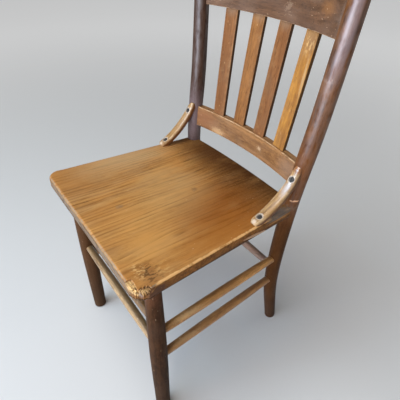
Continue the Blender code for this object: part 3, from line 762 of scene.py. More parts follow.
class Finish(Nodes):
    """A wood finish being built up: one colour, dullness and surface height at a time."""

    def __init__(self, name, pale, brown, streaks, pores, dullness, rings=0.35, blotches=1.4):
        self.material, nodes, self.shader = new_material(name)
        super().__init__(nodes.tree)
        self.place = self.add("ShaderNodeTexCoord").outputs["Object"]
        self.wood = self.stored("grain", "Vector")
        oak = self.effect(OAK_FIGURE, {
            "Wood Place": self.wood,
            "Pale Wood": (*pale, 1.0),
            "Brown Wood": (*brown, 1.0),
            "Streak Strength": streaks,
            "Ring Strength": rings,
            "Blotch Strength": blotches,
            "Pore Strength": pores,
        })
        self.colour = oak["Colour"]
        self.height = oak["Height"]
        uneven = self.noise(self.wood, 38.0, 12.0, 4.0, 0.6)
        self.dullness = self.times_plus(uneven, 0.22, dullness - 0.11)

    def stored(self, name, output="Fac"):
        """What the mesh keeps at each point under this name."""
        return self.add("ShaderNodeAttribute", attribute_name=name).outputs[output]

    def effect(self, group, values):
        return self.add("ShaderNodeGroup", values, node_tree=group).outputs

    def tint(self, mask, colour, strength=1.0, kind="MIX"):
        """Another colour where the mask is 1."""
        share = self.times(mask, strength)
        self.colour = self.blend(share, self.colour, (*colour, 1.0), kind)

    def dull(self, mask, amount):
        self.dullness = self.times_plus(mask, amount, self.dullness)

    def lower(self, mask, amount):
        self.height = self.times_plus(mask, -amount, self.height)

    def mottle(self, size, strength, colour):
        """Slow changes of colour along the board."""
        spread = self.noise(self.wood, 1.0 / size, 0.35 / size, 3.0, 0.55)
        self.tint(self.rise(spread, 0.42, 0.66), colour, strength)

    def around(self, centre, reach, softness, break_up):
        """1 round one place on the chair, fading out at its reach."""
        return self.effect(SOFT_PATCH, {
            "Chair Place": self.place,
            "Centre": tuple(centre),
            "Reach": reach,
            "Softness": softness,
            "Break Up": break_up,
        })["Mask"]

    def patch(self, centre, reach, colour, strength, softness, break_up, kind="MIX"):
        """Another colour round one place on the chair."""
        mask = self.around(centre, reach, softness, break_up)
        self.tint(mask, colour, strength, kind)
        return mask

    def patches(self, place, rows):
        """One patch after another: each row holds a spot, then a patch's reach, colour and the rest."""
        for spot, *look in rows:
            self.patch(place(*spot), *look)

    def speckle(self, centre, reach, size, colour, strength):
        """Small crisp flecks of another colour round one place on the chair."""
        grit = self.noise(self.wood, 1.0 / size, 0.4 / size)
        flecks = self.times(self.rise(grit, 0.52, 0.58), self.around(centre, reach, 0.8, 0.3))
        self.tint(flecks, colour, strength)

    def rub_edges(self, amount, colour, kept_as="edge"):
        edge = self.stored(kept_as)
        mask = self.effect(RUBBED_EDGE, {"Edge": edge, "Chair Place": self.place, "Amount": amount})["Mask"]
        self.tint(mask, colour)
        self.dull(mask, 0.08)

    def scuff(self, amount, nick_colour, mark_strength, mark_colour):
        marks = self.effect(SCUFFS, {"Wood Place": self.wood, "Amount": amount})
        self.tint(marks["Dull Marks"], mark_colour, mark_strength)
        self.tint(marks["Nicks"], nick_colour, 0.75)
        self.dull(marks["Dull Marks"], 0.10)
        self.lower(marks["Nicks"], 0.8)

    def dust_feet(self, height, strength, colour):
        mask = self.effect(FLOOR_DUST, {"Chair Place": self.place, "Height": height})["Mask"]
        self.tint(mask, colour, strength)
        self.dull(mask, 0.15)

    def height_share(self, low, high):
        """0 below one height above the floor, 1 above another and a soft step between."""
        return self.rise(self.part(self.place, 2), low, high)

    def near_share(self, far_value=0.0):
        """1 on the near half of the chair and a smaller value on the far half."""
        near = self.rise(self.part(self.place, 0), -0.05, 0.05)
        return self.times_plus(near, 1.0 - far_value, far_value)

    def far_share(self):
        return self.minus(1.0, self.near_share())

    def facing(self, direction, low, high):
        """1 on the faces that look along one direction, 0 on those that look another way."""
        outward = self.add("ShaderNodeTexCoord").outputs["Normal"]
        return self.rise(self.vector_math("DOT_PRODUCT", outward, direction), low, high)

    def tint_below(self, low, high, strength, colour):
        """Another colour for the lower part of a piece."""
        self.tint(self.minus(1.0, self.height_share(low, high)), colour, strength)

    def varnish(self, where, refraction, dullness):
        """A clear uneven coat on part of a piece: elsewhere it has worn away."""
        uneven = self.rise(self.noise(self.wood, 150.0, 40.0, 4.0, 0.65), 0.25, 0.60)
        self.feed(self.shader.inputs["Coat Weight"], self.times(where, uneven))
        self.shader.inputs["Coat IOR"].default_value = refraction
        self.shader.inputs["Coat Roughness"].default_value = dullness

    def close(self, gloss, relief=0.35):
        self.bump(self.shader, self.height, relief, WOOD_RELIEF)
        self.feed(self.shader.inputs["Base Color"], self.colour)
        self.feed(self.shader.inputs["Roughness"], self.dullness)
        self.shader.inputs["Specular IOR Level"].default_value = gloss
        return self.material


# Wood finishes, one for each kind of piece


def at_seat(x, back, depth=0.0):
    """A place on the seat in the chair's own frame."""
    return (x, FRONT_Y + back, seat_top(back) - depth)


def at_back(x, back, z):
    """A place in the chair's back, so far behind the seat's front edge."""
    return (x, FRONT_Y + back, z)


def make_seat_top_finish():
    oak = Finish("seat_top_oak", (0.62, 0.325, 0.100), (0.24, 0.088, 0.020), 1.0, 0.25, 0.50, 1.0, 0.6)
    oak.mottle(0.018, 0.45, (0.58, 0.255, 0.065))
    oak.mottle(0.027, 0.40, (0.45, 0.260, 0.110))
    oak.mottle(0.075, 0.40, (0.44, 0.175, 0.036))
    oak.patches(at_seat, (
        ((-0.14, 0.03), (0.13, 0.10, 0.05), (0.36, 0.165, 0.055), 0.35, 0.9, 0.3),
        # Pale, less saturated patch: partly the wood's tone, partly a painted sheen
        ((-0.17, 0.17), (0.08, 0.17, 0.05), (0.56, 0.39, 0.210), 0.50, 0.9, 0.4),
        ((0.06, 0.10), (0.15, 0.12, 0.05), (0.68, 0.37, 0.115), 0.25, 0.9, 0.4),
        ((0.105, 0.25), (0.13, 0.15, 0.05), (0.44, 0.17, 0.025), 0.65, 0.95, 0.3, "MULTIPLY"),
        ((0.105, 0.25), (0.13, 0.15, 0.05), (0.30, 0.098, 0.011), 0.50, 0.95, 0.3),
        # Darker towards the back, under the back rails: partly the wood's tone, partly painted shade
        ((0.02, 0.400), (0.36, 0.175, 0.05), (0.045, 0.0130, 0.0016), 0.96, 0.90, 0.3),
        ((-0.10, 0.365), (0.17, 0.105, 0.05), (0.070, 0.024, 0.0055), 0.75, 0.9, 0.3),
        ((0.16, 0.17), (0.05, 0.13, 0.05), (0.40, 0.145, 0.025), 0.55, 0.9, 0.4),
        # Pale, less saturated patch in the middle: partly the wood's tone, partly a painted sheen
        ((0.0, 0.19), (0.13, 0.11, 0.05), (0.60, 0.37, 0.150), 0.40, 0.9, 0.4),
        ((0.115, 0.075), (0.08, 0.07, 0.05), (0.64, 0.31, 0.080), 0.45, 0.9, 0.4),
        ((0.172, 0.039), (0.036, 0.024, 0.03), (0.27, 0.12, 0.040), 0.55, 0.9, 0.6),
        ((-0.0085, 0.078), (0.008, 0.011, 0.03), (0.22, 0.145, 0.09), 0.55, 0.8, 1.6),
        ((0.023, 0.233), (0.009, 0.010, 0.03), (0.19, 0.105, 0.05), 0.55, 0.8, 1.6),
        ((0.172, 0.325), (0.010, 0.040, 0.03), (0.15, 0.125, 0.105), 0.7, 0.8, 0.8),
    ))
    oak.speckle(at_seat(0.172, 0.041), (0.036, 0.026, 0.03), 0.0038, (0.10, 0.045, 0.016), 0.8)
    oak.speckle(at_seat(0.158, 0.028), (0.028, 0.018, 0.03), 0.0034, (0.70, 0.43, 0.17), 0.7)
    oak.speckle(at_seat(0.176, 0.064), (0.020, 0.018, 0.03), 0.0040, (0.64, 0.39, 0.14), 0.5)
    oak.scuff(0.55, (0.66, 0.44, 0.23), 0.25, (0.40, 0.20, 0.070))
    oak.tint(oak.stored("back_edge"), (0.26, 0.200, 0.150), 0.8)
    # Pale rims along the front and near side: partly rubbed wear, partly a painted highlight on the rounded
    # edge
    oak.rub_edges(1.0, (0.31, 0.230, 0.155))
    oak.rub_edges(1.25, (0.84, 0.47, 0.185), "near_rim_wear_and_highlight")
    oak.patch(at_seat(0.188, 0.328), (0.022, 0.052, 0.03), (0.22, 0.178, 0.148), 0.92, 0.5, 0.6)
    return oak.close(0.10)


def make_seat_core_finish():
    oak = Finish("seat_core_oak", (0.38, 0.155, 0.036), (0.13, 0.050, 0.012), 1.0, 0.6, 0.55)
    # Grey strip along the front face: partly the edge's own grey, partly a painted reflection
    oak.patch(at_seat(0.0, 0.0, 0.012), (0.26, 0.006, 0.03), (0.205, 0.155, 0.105), 0.85, 0.5, 0.4)
    oak.speckle(at_seat(0.0, 0.0, 0.012), (0.26, 0.006, 0.03), 0.0065, (0.070, 0.042, 0.028), 0.75)
    oak.patches(at_seat, (
        ((0.192, 0.20, 0.024), (0.03, 0.25, 0.010), (0.055, 0.030, 0.021), 0.8, 0.8, 0.4),
        ((0.184, 0.328, 0.004), (0.024, 0.052, 0.0075), (0.20, 0.160, 0.132), 0.92, 0.5, 0.5),
        ((0.184, 0.325, 0.0125), (0.024, 0.050, 0.0030), (0.52, 0.25, 0.085), 0.70, 0.7, 0.8),
        ((0.199, 0.037, 0.015), (0.012, 0.022, 0.014), (0.105, 0.048, 0.028), 0.85, 0.4, 0.6),
        ((0.183, 0.012, 0.004), (0.025, 0.020, 0.012), (0.76, 0.49, 0.210), 0.90, 0.35, 0.5),
    ))
    oak.speckle(at_seat(0.185, 0.014, 0.006), (0.026, 0.022, 0.014), 0.0030, (0.10, 0.05, 0.024), 0.85)
    oak.patch(at_seat(0.197, 0.011, 0.010), (0.010, 0.004, 0.010), (0.40, 0.30, 0.25), 0.8, 0.5, 0.6)
    oak.scuff(0.6, (0.45, 0.28, 0.15), 0.30, (0.19, 0.110, 0.062))
    oak.rub_edges(1.2, (0.60, 0.32, 0.10))
    return oak.close(0.12, 0.6)


def make_seat_bottom_finish():
    oak = Finish("seat_bottom_oak", (0.17, 0.098, 0.058), (0.09, 0.047, 0.026), 0.6, 0.5, 0.62)
    oak.patch(at_seat(0.199, 0.037, 0.022), (0.012, 0.022, 0.010), (0.095, 0.045, 0.027), 0.85, 0.4, 0.6)
    oak.scuff(0.6, (0.36, 0.25, 0.16), 0.4, (0.17, 0.115, 0.085))
    oak.rub_edges(0.8, (0.28, 0.19, 0.13))
    return oak.close(0.20)


def make_break_finish(name, pale, brown, mottled):
    oak = Finish(name, pale, brown, 1.2, 0.8, 0.7)
    oak.mottle(0.006, 0.5, mottled)
    return oak.close(0.20, 0.5)


def make_post_finish():
    oak = Finish("post_oak", (0.180, 0.068, 0.022), (0.064, 0.023, 0.0078), 1.3, 0.6, 0.40)
    oak.mottle(0.016, 0.5, (0.250, 0.098, 0.029))
    oak.scuff(0.66, (0.42, 0.25, 0.15), 0.30, (0.120, 0.062, 0.042))
    oak.patch(post_axis(1, SEAT_HEIGHT + 0.05), (0.05, 0.05, 0.11), (0.165, 0.056, 0.015), 0.70, 0.9, 0.5)
    nick_place = at_back(0.183, 0.358, 0.456)
    nick = oak.patch(nick_place, (0.010, 0.014, 0.0026), (0.74, 0.42, 0.24), 0.95, 0.5, 2.2)
    oak.lower(nick, 2.0)
    oak.patch(at_back(0.180, 0.378, 0.690), (0.024, 0.024, 0.004), (0.30, 0.20, 0.15), 0.35, 0.8, 3.0)
    for _, side in SIDES:
        rubbed = at_back(side * POST_SPREADS[2], 0.368, 0.438)
        oak.patch(rubbed, (0.03, 0.03, 0.012), (0.20, 0.14, 0.10), 0.55, 0.7, 1.5)
    oak.tint_below(SEAT_HEIGHT - 0.10, SEAT_HEIGHT, 0.80, (0.062, 0.0235, 0.0064))
    # The far post darker all over: partly its own darker tone, partly painted shade
    oak.tint(oak.far_share(), (0.042, 0.020, 0.013), 0.85)
    # A lavender-grey patch low on the far post: painted sheen
    oak.patch(post_axis(-1, SEAT_HEIGHT + 0.04), (0.06, 0.06, 0.11), (0.200, 0.145, 0.148), 0.85, 0.9, 0.4)
    # A pale lavender sheen on the front of the near post's upper part: painted highlight
    painted_sheen = oak.times(oak.facing(PAINTED_SHEEN_SIDE, 0.78, 0.95), oak.near_share())
    painted_sheen = oak.times(painted_sheen, oak.height_share(SEAT_HEIGHT + 0.20, CREST_BOTTOM))
    oak.tint(painted_sheen, (0.285, 0.218, 0.228), 0.50)
    oak.dust_feet(0.20, 0.45, (0.062, 0.040, 0.029))
    coated = oak.times(oak.height_share(SEAT_HEIGHT - 0.06, SEAT_HEIGHT + 0.02), 0.40)
    fuller = oak.height_share(SEAT_HEIGHT + 0.06, SEAT_HEIGHT + 0.22)
    coated = oak.times_plus(fuller, 0.50, coated)
    coated = oak.times(coated, oak.near_share(0.70))
    oak.varnish(coated, 2.00, 0.43)
    return oak.close(0.05)


def make_leg_finish():
    oak = Finish("leg_oak", (0.080, 0.0335, 0.0128), (0.030, 0.0122, 0.0048), 1.3, 0.6, 0.45)
    oak.mottle(0.016, 0.5, (0.090, 0.041, 0.019))
    oak.scuff(0.66, (0.38, 0.25, 0.15), 0.32, (0.080, 0.047, 0.032))
    oak.patch(leg_axis(1, 0.40), (0.03, 0.03, 0.05), (0.165, 0.065, 0.031), 0.7, 0.9, 0.6)
    oak.tint(oak.far_share(), (0.135, 0.062, 0.026), 0.45)
    oak.dust_feet(0.24, 0.50, (0.054, 0.034, 0.023))
    return oak.close(0.04)


def make_crest_finish():
    oak = Finish("crest_oak", (0.178, 0.086, 0.042), (0.080, 0.038, 0.018), 1.2, 0.9, 0.42, 0.35, 0.8)
    oak.mottle(0.07, 0.45, (0.165, 0.098, 0.066))
    oak.patches(at_back, (
        ((0.132, 0.408, 0.785), (0.024, 0.02, 0.018), (0.29, 0.125, 0.040), 0.55, 0.9, 1.0),
        ((0.040, 0.421, 0.772), (0.010, 0.02, 0.010), (0.36, 0.24, 0.155), 0.35, 0.8, 6.0),
        ((0.081, 0.416, 0.760), (0.035, 0.02, 0.012), (0.085, 0.041, 0.022), 0.5, 0.8, 0.8),
        ((-0.130, 0.408, 0.785), (0.060, 0.03, 0.050), (0.33, 0.210, 0.138), 0.50, 0.9, 0.6),
        ((0.172, 0.398, 0.770), (0.016, 0.03, 0.060), (0.185, 0.135, 0.105), 0.60, 0.9, 0.5),
    ))
    oak.scuff(0.73, (0.40, 0.26, 0.16), 0.30, (0.20, 0.132, 0.094))
    oak.rub_edges(1.0, (0.42, 0.26, 0.145))
    return oak.close(0.22)


def make_lower_rail_finish():
    oak = Finish("lower_rail_oak", (0.375, 0.186, 0.071), (0.175, 0.078, 0.028), 1.2, 0.9, 0.42, 0.35, 1.0)
    oak.mottle(0.05, 0.4, (0.29, 0.155, 0.078))
    oak.patches(at_back, (
        ((-0.088, 0.379, 0.489), (0.030, 0.02, 0.010), (0.58, 0.36, 0.18), 0.75, 0.7, 1.6),
        ((0.049, 0.384, 0.503), (0.010, 0.02, 0.006), (0.56, 0.38, 0.22), 0.7, 0.7, 2.5),
        ((-0.028, 0.384, 0.492), (0.030, 0.02, 0.008), (0.15, 0.070, 0.028), 0.5, 0.8, 0.9),
        ((-0.130, 0.372, 0.505), (0.060, 0.03, 0.035), (0.25, 0.098, 0.042), 0.65, 0.9, 0.6),
        ((0.140, 0.372, 0.505), (0.045, 0.03, 0.035), (0.235, 0.155, 0.110), 0.55, 0.9, 0.6),
    ))
    oak.scuff(0.62, (0.55, 0.36, 0.20), 0.28, (0.28, 0.175, 0.105))
    oak.rub_edges(0.9, (0.50, 0.335, 0.195))
    return oak.close(0.16)


def at_slat(place, z):
    """A place on a slat, half way through its thickness."""
    share = (z - LOWER_RAIL_TOP) / (CREST_BOTTOM - LOWER_RAIL_TOP)
    foot_x = place * SLAT_BOTTOM_SPACING
    head_x = place * SLAT_TOP_SPACING
    foot_y = lower_surface(foot_x, LOWER_RAIL_TOP)
    head_y = crest_surface(head_x, CREST_BOTTOM)
    return (foot_x + (head_x - foot_x) * share, float(foot_y + (head_y - foot_y) * share), z)


def make_slat_finish():
    oak = Finish("slat_oak", (0.290, 0.123, 0.044), (0.17, 0.065, 0.0215), 0.9, 0.9, 0.46, 0.35, 0.8)
    oak.tint(oak.stored("tone"), (1.80, 1.98, 1.20), kind="MULTIPLY")
    oak.mottle(0.012, 0.45, (0.20, 0.085, 0.032))
    oak.patch(at_slat(1.5, 0.730), (0.026, 0.02, 0.045), (0.31, 0.180, 0.085), 0.70, 0.9, 0.6)
    oak.speckle(at_slat(1.5, 0.725), (0.020, 0.02, 0.030), 0.0040, (0.72, 0.45, 0.19), 0.6)
    # A pale streak along slat 4's right edge: painted highlight
    oak.patch(at_slat(1.66, 0.665), (0.005, 0.02, 0.060), (0.62, 0.44, 0.24), 0.45, 0.9, 0.6)
    for place in SLAT_PLACES[:3]:
        oak.patch(at_slat(place, 0.745), (0.022, 0.02, 0.022), (0.30, 0.20, 0.125), 0.50, 0.9, 0.6)
    oak.scuff(0.64, (0.52, 0.31, 0.14), 0.30, (0.20, 0.110, 0.058))
    oak.rub_edges(0.45, (0.38, 0.22, 0.10))
    # The slats' side faces darkened: painted shade
    oak.tint(oak.facing((1.0, 0.0, 0.0), 0.45, 0.75), (0.045, 0.022, 0.010), 0.85)
    return oak.close(0.12)


def make_brace_finish():
    oak = Finish("brace_oak", (0.48, 0.29, 0.115), (0.24, 0.120, 0.040), 1.1, 0.6, 0.32)
    oak.mottle(0.016, 0.45, (0.42, 0.235, 0.105))
    oak.scuff(0.66, (0.72, 0.55, 0.36), 0.30, (0.40, 0.26, 0.150))
    oak.rub_edges(0.5, (0.66, 0.48, 0.29))
    # The brace's sides and back darker: partly a darker finish, partly painted shade
    tone = oak.stored("tone")
    oak.tint(tone, (0.170, 0.060, 0.016), 0.92)
    for _, side in SIDES:
        for share in BRACE_SCREW_SHARES:
            point, _ = screw_point(side, share)
            # A pale ring round each screw hole: painted highlight on the hole's rim
            oak.patch(point, (SCREW_RING_RADIUS,) * 3, (0.62, 0.52, 0.42), 0.85, 0.3, 0.4)
            # A dark disc over the sunk hole: painted shade
            oak.patch(point, (SCREW_HOLE_SHADE_RADIUS,) * 3, (0.045, 0.026, 0.016), 0.95, 0.2, 0.3)
        # A pale patch at the foot's tip: painted highlight
        foot, _ = screw_point(side, 0.03)
        oak.patch(foot, (0.007, 0.007, 0.007), (0.72, 0.58, 0.45), 0.7, 0.7, 0.6)
    # A pale bluish patch on the near brace's upper face: painted sheen
    oak.patch(brace_face(1, 0.70)[0], (0.010, 0.022, 0.026), (0.50, 0.46, 0.48), 0.45, 0.8, 0.5)
    oak.patch(brace_face(1, 1.02)[0], (0.014, 0.014, 0.014), (0.27, 0.100, 0.030), 0.90, 0.5, 0.4)
    face = oak.minus(1.0, tone)
    upper = oak.height_share(SEAT_HEIGHT + 0.012, SEAT_HEIGHT + 0.045)
    oak.varnish(oak.times(face, upper), 2.1, 0.22)
    return oak.close(0.25)


def make_stretcher_finish(name, pale, brown, mottled, worn_heights=(), painted_shade=0.0, dark_below=0.0):
    oak = Finish(name, pale, brown, 1.2, 0.7, 0.32)
    oak.mottle(0.03, 0.5, mottled)
    for height in worn_heights:
        start = leg_axis(1, height)
        worn = start + (post_axis(1, height) - start) * WORN_STREAK_SHARE + WORN_STREAK_OFFSET
        oak.patch(worn, WORN_STREAK_REACH, (0.88, 0.56, 0.27), 0.65, 0.8, 1.2)
    oak.tint_below(SIDE_LOWER_HEIGHT + 0.02, SIDE_LOWER_HEIGHT + 0.03, dark_below, (0.21, 0.108, 0.056))
    # The side facing up and back, under the seat, darkened: painted shade
    oak.tint(oak.facing(STRETCHER_PAINTED_SHADE_SIDE, 0.05, 0.45), (0.110, 0.066, 0.027), painted_shade)
    oak.scuff(0.66, (0.56, 0.38, 0.22), 0.30, (0.23, 0.140, 0.080))
    return oak.close(0.50)


def make_steel(name, bright, dark, dullness):
    """Old steel with dark rust in its hollows."""
    material, nodes, shader = new_material(name)
    place = nodes.add("ShaderNodeTexCoord").outputs["Object"]
    stain = nodes.rise(nodes.noise(place, 700.0, 700.0, 4.0, 0.6), 0.40, 0.62)
    nodes.feed(shader.inputs["Base Color"], nodes.blend(stain, (*bright, 1.0), (*dark, 1.0)))
    nodes.feed(shader.inputs["Roughness"], nodes.times_plus(stain, 0.25, dullness))
    nodes.feed(shader.inputs["Metallic"], nodes.times_plus(stain, -0.5, 0.9))
    nodes.bump(shader, stain, 0.3, STEEL_RELIEF)
    return material


# Geometry node trees


def end_tree(nodes, shape, finish, result):
    """Every tree ends with real faces in their finish."""
    real = nodes.add("GeometryNodeRealizeInstances", {"Geometry": shape})
    painted = nodes.add("GeometryNodeSetMaterial", {"Geometry": real.outputs[0], "Material": finish})
    nodes.feed(result, painted.outputs[0])
    return nodes.tree


def make_turned_round():
    """A turned round: a circle carried along a path, as thick as the path's own radius."""
    nodes, given, result = new_tree(
        "turned_round",
        "GeometryNodeTree",
        {"shape": ["Path"], "count": ["Sides"], "finish": ["Finish"]},
        {"shape": ["Round"]},
    )
    inputs = {"Resolution": given["Sides"], "Radius": 1.0}
    circle = nodes.add("GeometryNodeCurvePrimitiveCircle", inputs, mode="RADIUS")
    sweep = nodes.add("GeometryNodeCurveToMesh", {
        "Curve": given["Path"],
        "Profile Curve": circle.outputs["Curve"],
        "Scale": nodes.add("GeometryNodeInputRadius").outputs[0],
        "Fill Caps": True,
    })
    return end_tree(nodes, sweep.outputs["Mesh"], given["Finish"], result["Round"])


def make_slat_board():
    """A straight slat, eased along its edges and twisted from its foot's facing to its head's."""
    nodes, given, result = new_tree(
        "slat_board",
        "GeometryNodeTree",
        {
            "vector": ["Foot", "Head", "Foot Facing", "Head Facing"],
            "value": ["Width", "Thickness", "Easing"],
            "count": ["Steps"],
            "finish": ["Finish"],
        },
        {"shape": ["Slat"]},
    )
    ends = {"Start": given["Foot"], "End": given["Head"]}
    line = nodes.add("GeometryNodeCurvePrimitiveLine", ends, mode="POINTS")
    steps = nodes.add("GeometryNodeResampleCurve", {"Curve": line.outputs[0], "Count": given["Steps"]})
    low, high, mixed = VECTOR_MIX
    along = nodes.add("GeometryNodeSplineParameter").outputs["Factor"]
    facings = {"Factor": along, low: given["Foot Facing"], high: given["Head Facing"]}
    facing = nodes.add("ShaderNodeMix", facings, data_type="VECTOR").outputs[mixed]
    twist = {"Curve": steps.outputs[0], "Normal": facing}
    turned = nodes.add("GeometryNodeSetCurveNormal", twist, mode="FREE")
    section = {"Width": given["Thickness"], "Height": given["Width"]}
    board = nodes.add("GeometryNodeCurvePrimitiveQuadrilateral", section, mode="RECTANGLE")
    easing = {"Curve": board.outputs[0], "Radius": given["Easing"], "Count": SLAT_EASING_STEPS}
    eased = nodes.add("GeometryNodeFilletCurve", easing, mode="POLY")
    sweep = nodes.add("GeometryNodeCurveToMesh", {
        "Curve": turned.outputs[0],
        "Profile Curve": eased.outputs[0],
        "Fill Caps": True,
    })
    return end_tree(nodes, sweep.outputs["Mesh"], given["Finish"], result["Slat"])


def moved_down(nodes, shape, depth):
    down = nodes.add("ShaderNodeCombineXYZ", {"Z": nodes.times(depth, -1.0)})
    return nodes.add("GeometryNodeTransform", {"Geometry": shape, "Translation": down.outputs[0]}).outputs[0]


def make_slotted_screws():
    """One slotted countersunk screw on each point, its head facing along the point's own direction."""
    nodes, given, result = new_tree(
        "slotted_screws",
        "GeometryNodeTree",
        {
            "shape": ["Places"],
            "value": ["Head Radius", "Head Depth", "Shank Radius", "Shank Length"],
            "vector": ["Slot Size"],
            "finish": ["Finish"],
        },
        {"shape": ["Screws"]},
    )
    head = nodes.add("GeometryNodeMeshCone", {
        "Vertices": SCREW_HEAD_SIDES,
        "Radius Top": given["Head Radius"],
        "Radius Bottom": given["Shank Radius"],
        "Depth": given["Head Depth"],
    })
    sunk = moved_down(nodes, head.outputs["Mesh"], given["Head Depth"])
    blade = nodes.add("GeometryNodeMeshCube", {"Size": given["Slot Size"]}).outputs["Mesh"]
    cut = {"Mesh 1": sunk, "Mesh 2": blade}
    slotted = nodes.add("GeometryNodeMeshBoolean", cut, operation="DIFFERENCE", solver="EXACT")
    shank = nodes.add("GeometryNodeMeshCone", {
        "Vertices": SCREW_SHANK_SIDES,
        "Radius Top": given["Shank Radius"],
        "Radius Bottom": nodes.times(given["Shank Radius"], SCREW_POINT_SHARE),
        "Depth": given["Shank Length"],
    })
    bottom = nodes.math("ADD", given["Shank Length"], given["Head Depth"])
    driven = moved_down(nodes, shank.outputs["Mesh"], bottom)
    whole = nodes.add("GeometryNodeJoinGeometry")
    for shape in (slotted.outputs["Mesh"], driven):
        nodes.feed(whole.inputs[0], shape)
    directions = {}
    for axis, name in enumerate(("facing", "slot_along")):
        kept = nodes.add("GeometryNodeInputNamedAttribute", {"Name": name}, data_type="FLOAT_VECTOR")
        directions[axis] = kept.outputs[0]
    turn = nodes.add("FunctionNodeAxesToRotation", directions, primary_axis="Z", secondary_axis="X")
    spread = nodes.add("GeometryNodeInstanceOnPoints", {
        "Points": given["Places"],
        "Instance": whole.outputs[0],
        "Rotation": turn.outputs[0],
    })
    return end_tree(nodes, spread.outputs[0], given["Finish"], result["Screws"])


def random_vector(nodes, low, high, seed):
    inputs = {0: low, 1: high, "Seed": seed}
    return nodes.add("FunctionNodeRandomValue", inputs, data_type="FLOAT_VECTOR").outputs[0]


def make_splinter_row():
    """Torn slivers of wood set along a path, each its own length and lean."""
    nodes, given, result = new_tree(
        "splinter_row",
        "GeometryNodeTree",
        {
            "shape": ["Path"],
            "count": ["Count", "Seed"],
            "value": ["Length", "Thickness"],
            "finish": ["Finish"],
        },
        {"shape": ["Splinters"]},
    )
    sliver = nodes.add("GeometryNodeMeshCone", {
        "Vertices": SPLINTER_SIDES,
        "Side Segments": SPLINTER_STEPS,
        "Radius Bottom": given["Thickness"],
        "Radius Top": nodes.times(given["Thickness"], SPLINTER_TIP_SHARE),
        "Depth": given["Length"],
    })
    path = {"Curve": given["Path"], "Count": given["Count"]}
    places = nodes.add("GeometryNodeCurveToPoints", path, mode="COUNT")
    lean = random_vector(nodes, *SPLINTER_LEAN, given["Seed"])
    next_seed = nodes.math("ADD", given["Seed"], SPLINTER_SEED_STEP)
    size = random_vector(nodes, *SPLINTER_SCALE, next_seed)
    spread = nodes.add("GeometryNodeInstanceOnPoints", {
        "Points": places.outputs["Points"],
        "Instance": sliver.outputs["Mesh"],
        "Rotation": nodes.add("FunctionNodeEulerToRotation", {0: lean}).outputs[0],
        "Scale": size,
    })
    return end_tree(nodes, spread.outputs[0], given["Finish"], result["Splinters"])


TURNED_ROUND = make_turned_round()
SLAT_TREE = make_slat_board()
SCREW_TREE = make_slotted_screws()
SPLINTER_TREE = make_splinter_row()


def path_object(points, radii):
    """A curve through the points for a tree to follow."""
    data = bpy.data.curves.new("path", "CURVE")
    data.dimensions = "3D"
    spline = data.splines.new("POLY")
    spline.points.add(len(points) - 1)
    for point, place, radius in zip(spline.points, points, radii):
        point.co = (*place, 1.0)
        point.radius = radius
    return new_object("path", data)


def mesh_from_tree(name, source, tree, values):
    """Runs a tree on the source object and keeps only the plain mesh that it makes."""
    modifier = source.modifiers.new("shape", "NODES")
    modifier.node_group = tree
    for item in tree.interface.items_tree:
        if item.item_type == "SOCKET" and item.in_out == "INPUT" and item.name in values:
            modifier[item.identifier] = values[item.name]
    graph = bpy.context.evaluated_depsgraph_get()
    mesh = bpy.data.meshes.new_from_object(source.evaluated_get(graph))
    mesh.name = name
    source.modifiers.remove(modifier)
    bpy.data.objects.remove(source)
    return mesh


# Turned pieces


def post_path(side):
    heights = [0.0, *np.linspace(FOOT_EASING, POST_HEIGHTS[-1], POST_STEPS)]
    points = [post_axis(side, z) for z in heights]
    radii = [POST_RADII[0] - FOOT_EASING, *(float(post_radius(z)) for z in heights[1:])]
    for turn in np.linspace(0, math.pi / 2, POST_DOME_STEPS)[1:]:
        higher = POST_DOME * math.sin(turn) * POST_DOME_SHARE
        points.append(post_axis(side, POST_HEIGHTS[-1]) + np.array([0.0, 0.0, higher]))
        radii.append(max(POST_RADII[-1] * math.cos(turn), POST_TIP_RADIUS))
    return path_object(points, radii)


def leg_path(side):
    heights = [0.0, *np.linspace(FOOT_EASING, LEG_SHOULDER, LEG_STEPS)]
    radii = [LEG_FOOT_RADIUS - FOOT_EASING, *(float(leg_radius(z)) for z in heights[1:])]
    return path_object([leg_axis(side, z) for z in heights], radii)


def upright(name, side, path, axis, material, board):
    """A turned upright: its grain runs up the piece round its own bent middle line."""
    mesh = mesh_from_tree(name, path(side), TURNED_ROUND, {"Sides": UPRIGHT_SIDES, "Finish": material})
    place = coordinates(mesh)
    place[:, 2] = np.maximum(place[:, 2], 0.0)
    set_coordinates(mesh, place)
    centre = np.array([axis(side, z) for z in place[:, 2]])
    store_grain(mesh, place[:, 0] - centre[:, 0], place[:, 1] - centre[:, 1], place[:, 2], board)
    finish_piece(name + "_round", mesh, material, [name], ROUND_SHARP_ANGLE)


def stretcher(name, start, finish, material, board, middle_radius=STRETCHER_MIDDLE_RADIUS):
    """A slim turned stretcher: thin where it enters its sockets and fullest half way."""
    shares = np.linspace(0.0, 1.0, STRETCHER_STEPS)
    swell = (middle_radius - STRETCHER_END_RADIUS) * np.sin(math.pi * shares) ** STRETCHER_SWELL_POWER
    path = path_object([start + (finish - start) * s for s in shares], STRETCHER_END_RADIUS + swell)
    mesh = mesh_from_tree(name, path, TURNED_ROUND, {"Sides": STRETCHER_SIDES, "Finish": material})
    run = (finish - start) / np.linalg.norm(finish - start)
    level = np.cross(run, (0.0, 0.0, 1.0))
    away = coordinates(mesh) - start
    store_grain(mesh, away @ level, away @ np.cross(level, run), away @ run, board)
    finish_piece(name + "_round", mesh, material, [name], ROUND_SHARP_ANGLE)


def build_uprights():
    posts = make_post_finish()
    legs = make_leg_finish()
    for number, (word, side) in enumerate(SIDES):
        upright("back_post_" + word, side, post_path, post_axis, posts, POST_BOARD + number)
        upright("front_leg_" + word, side, leg_path, leg_axis, legs, LEG_BOARD + number)


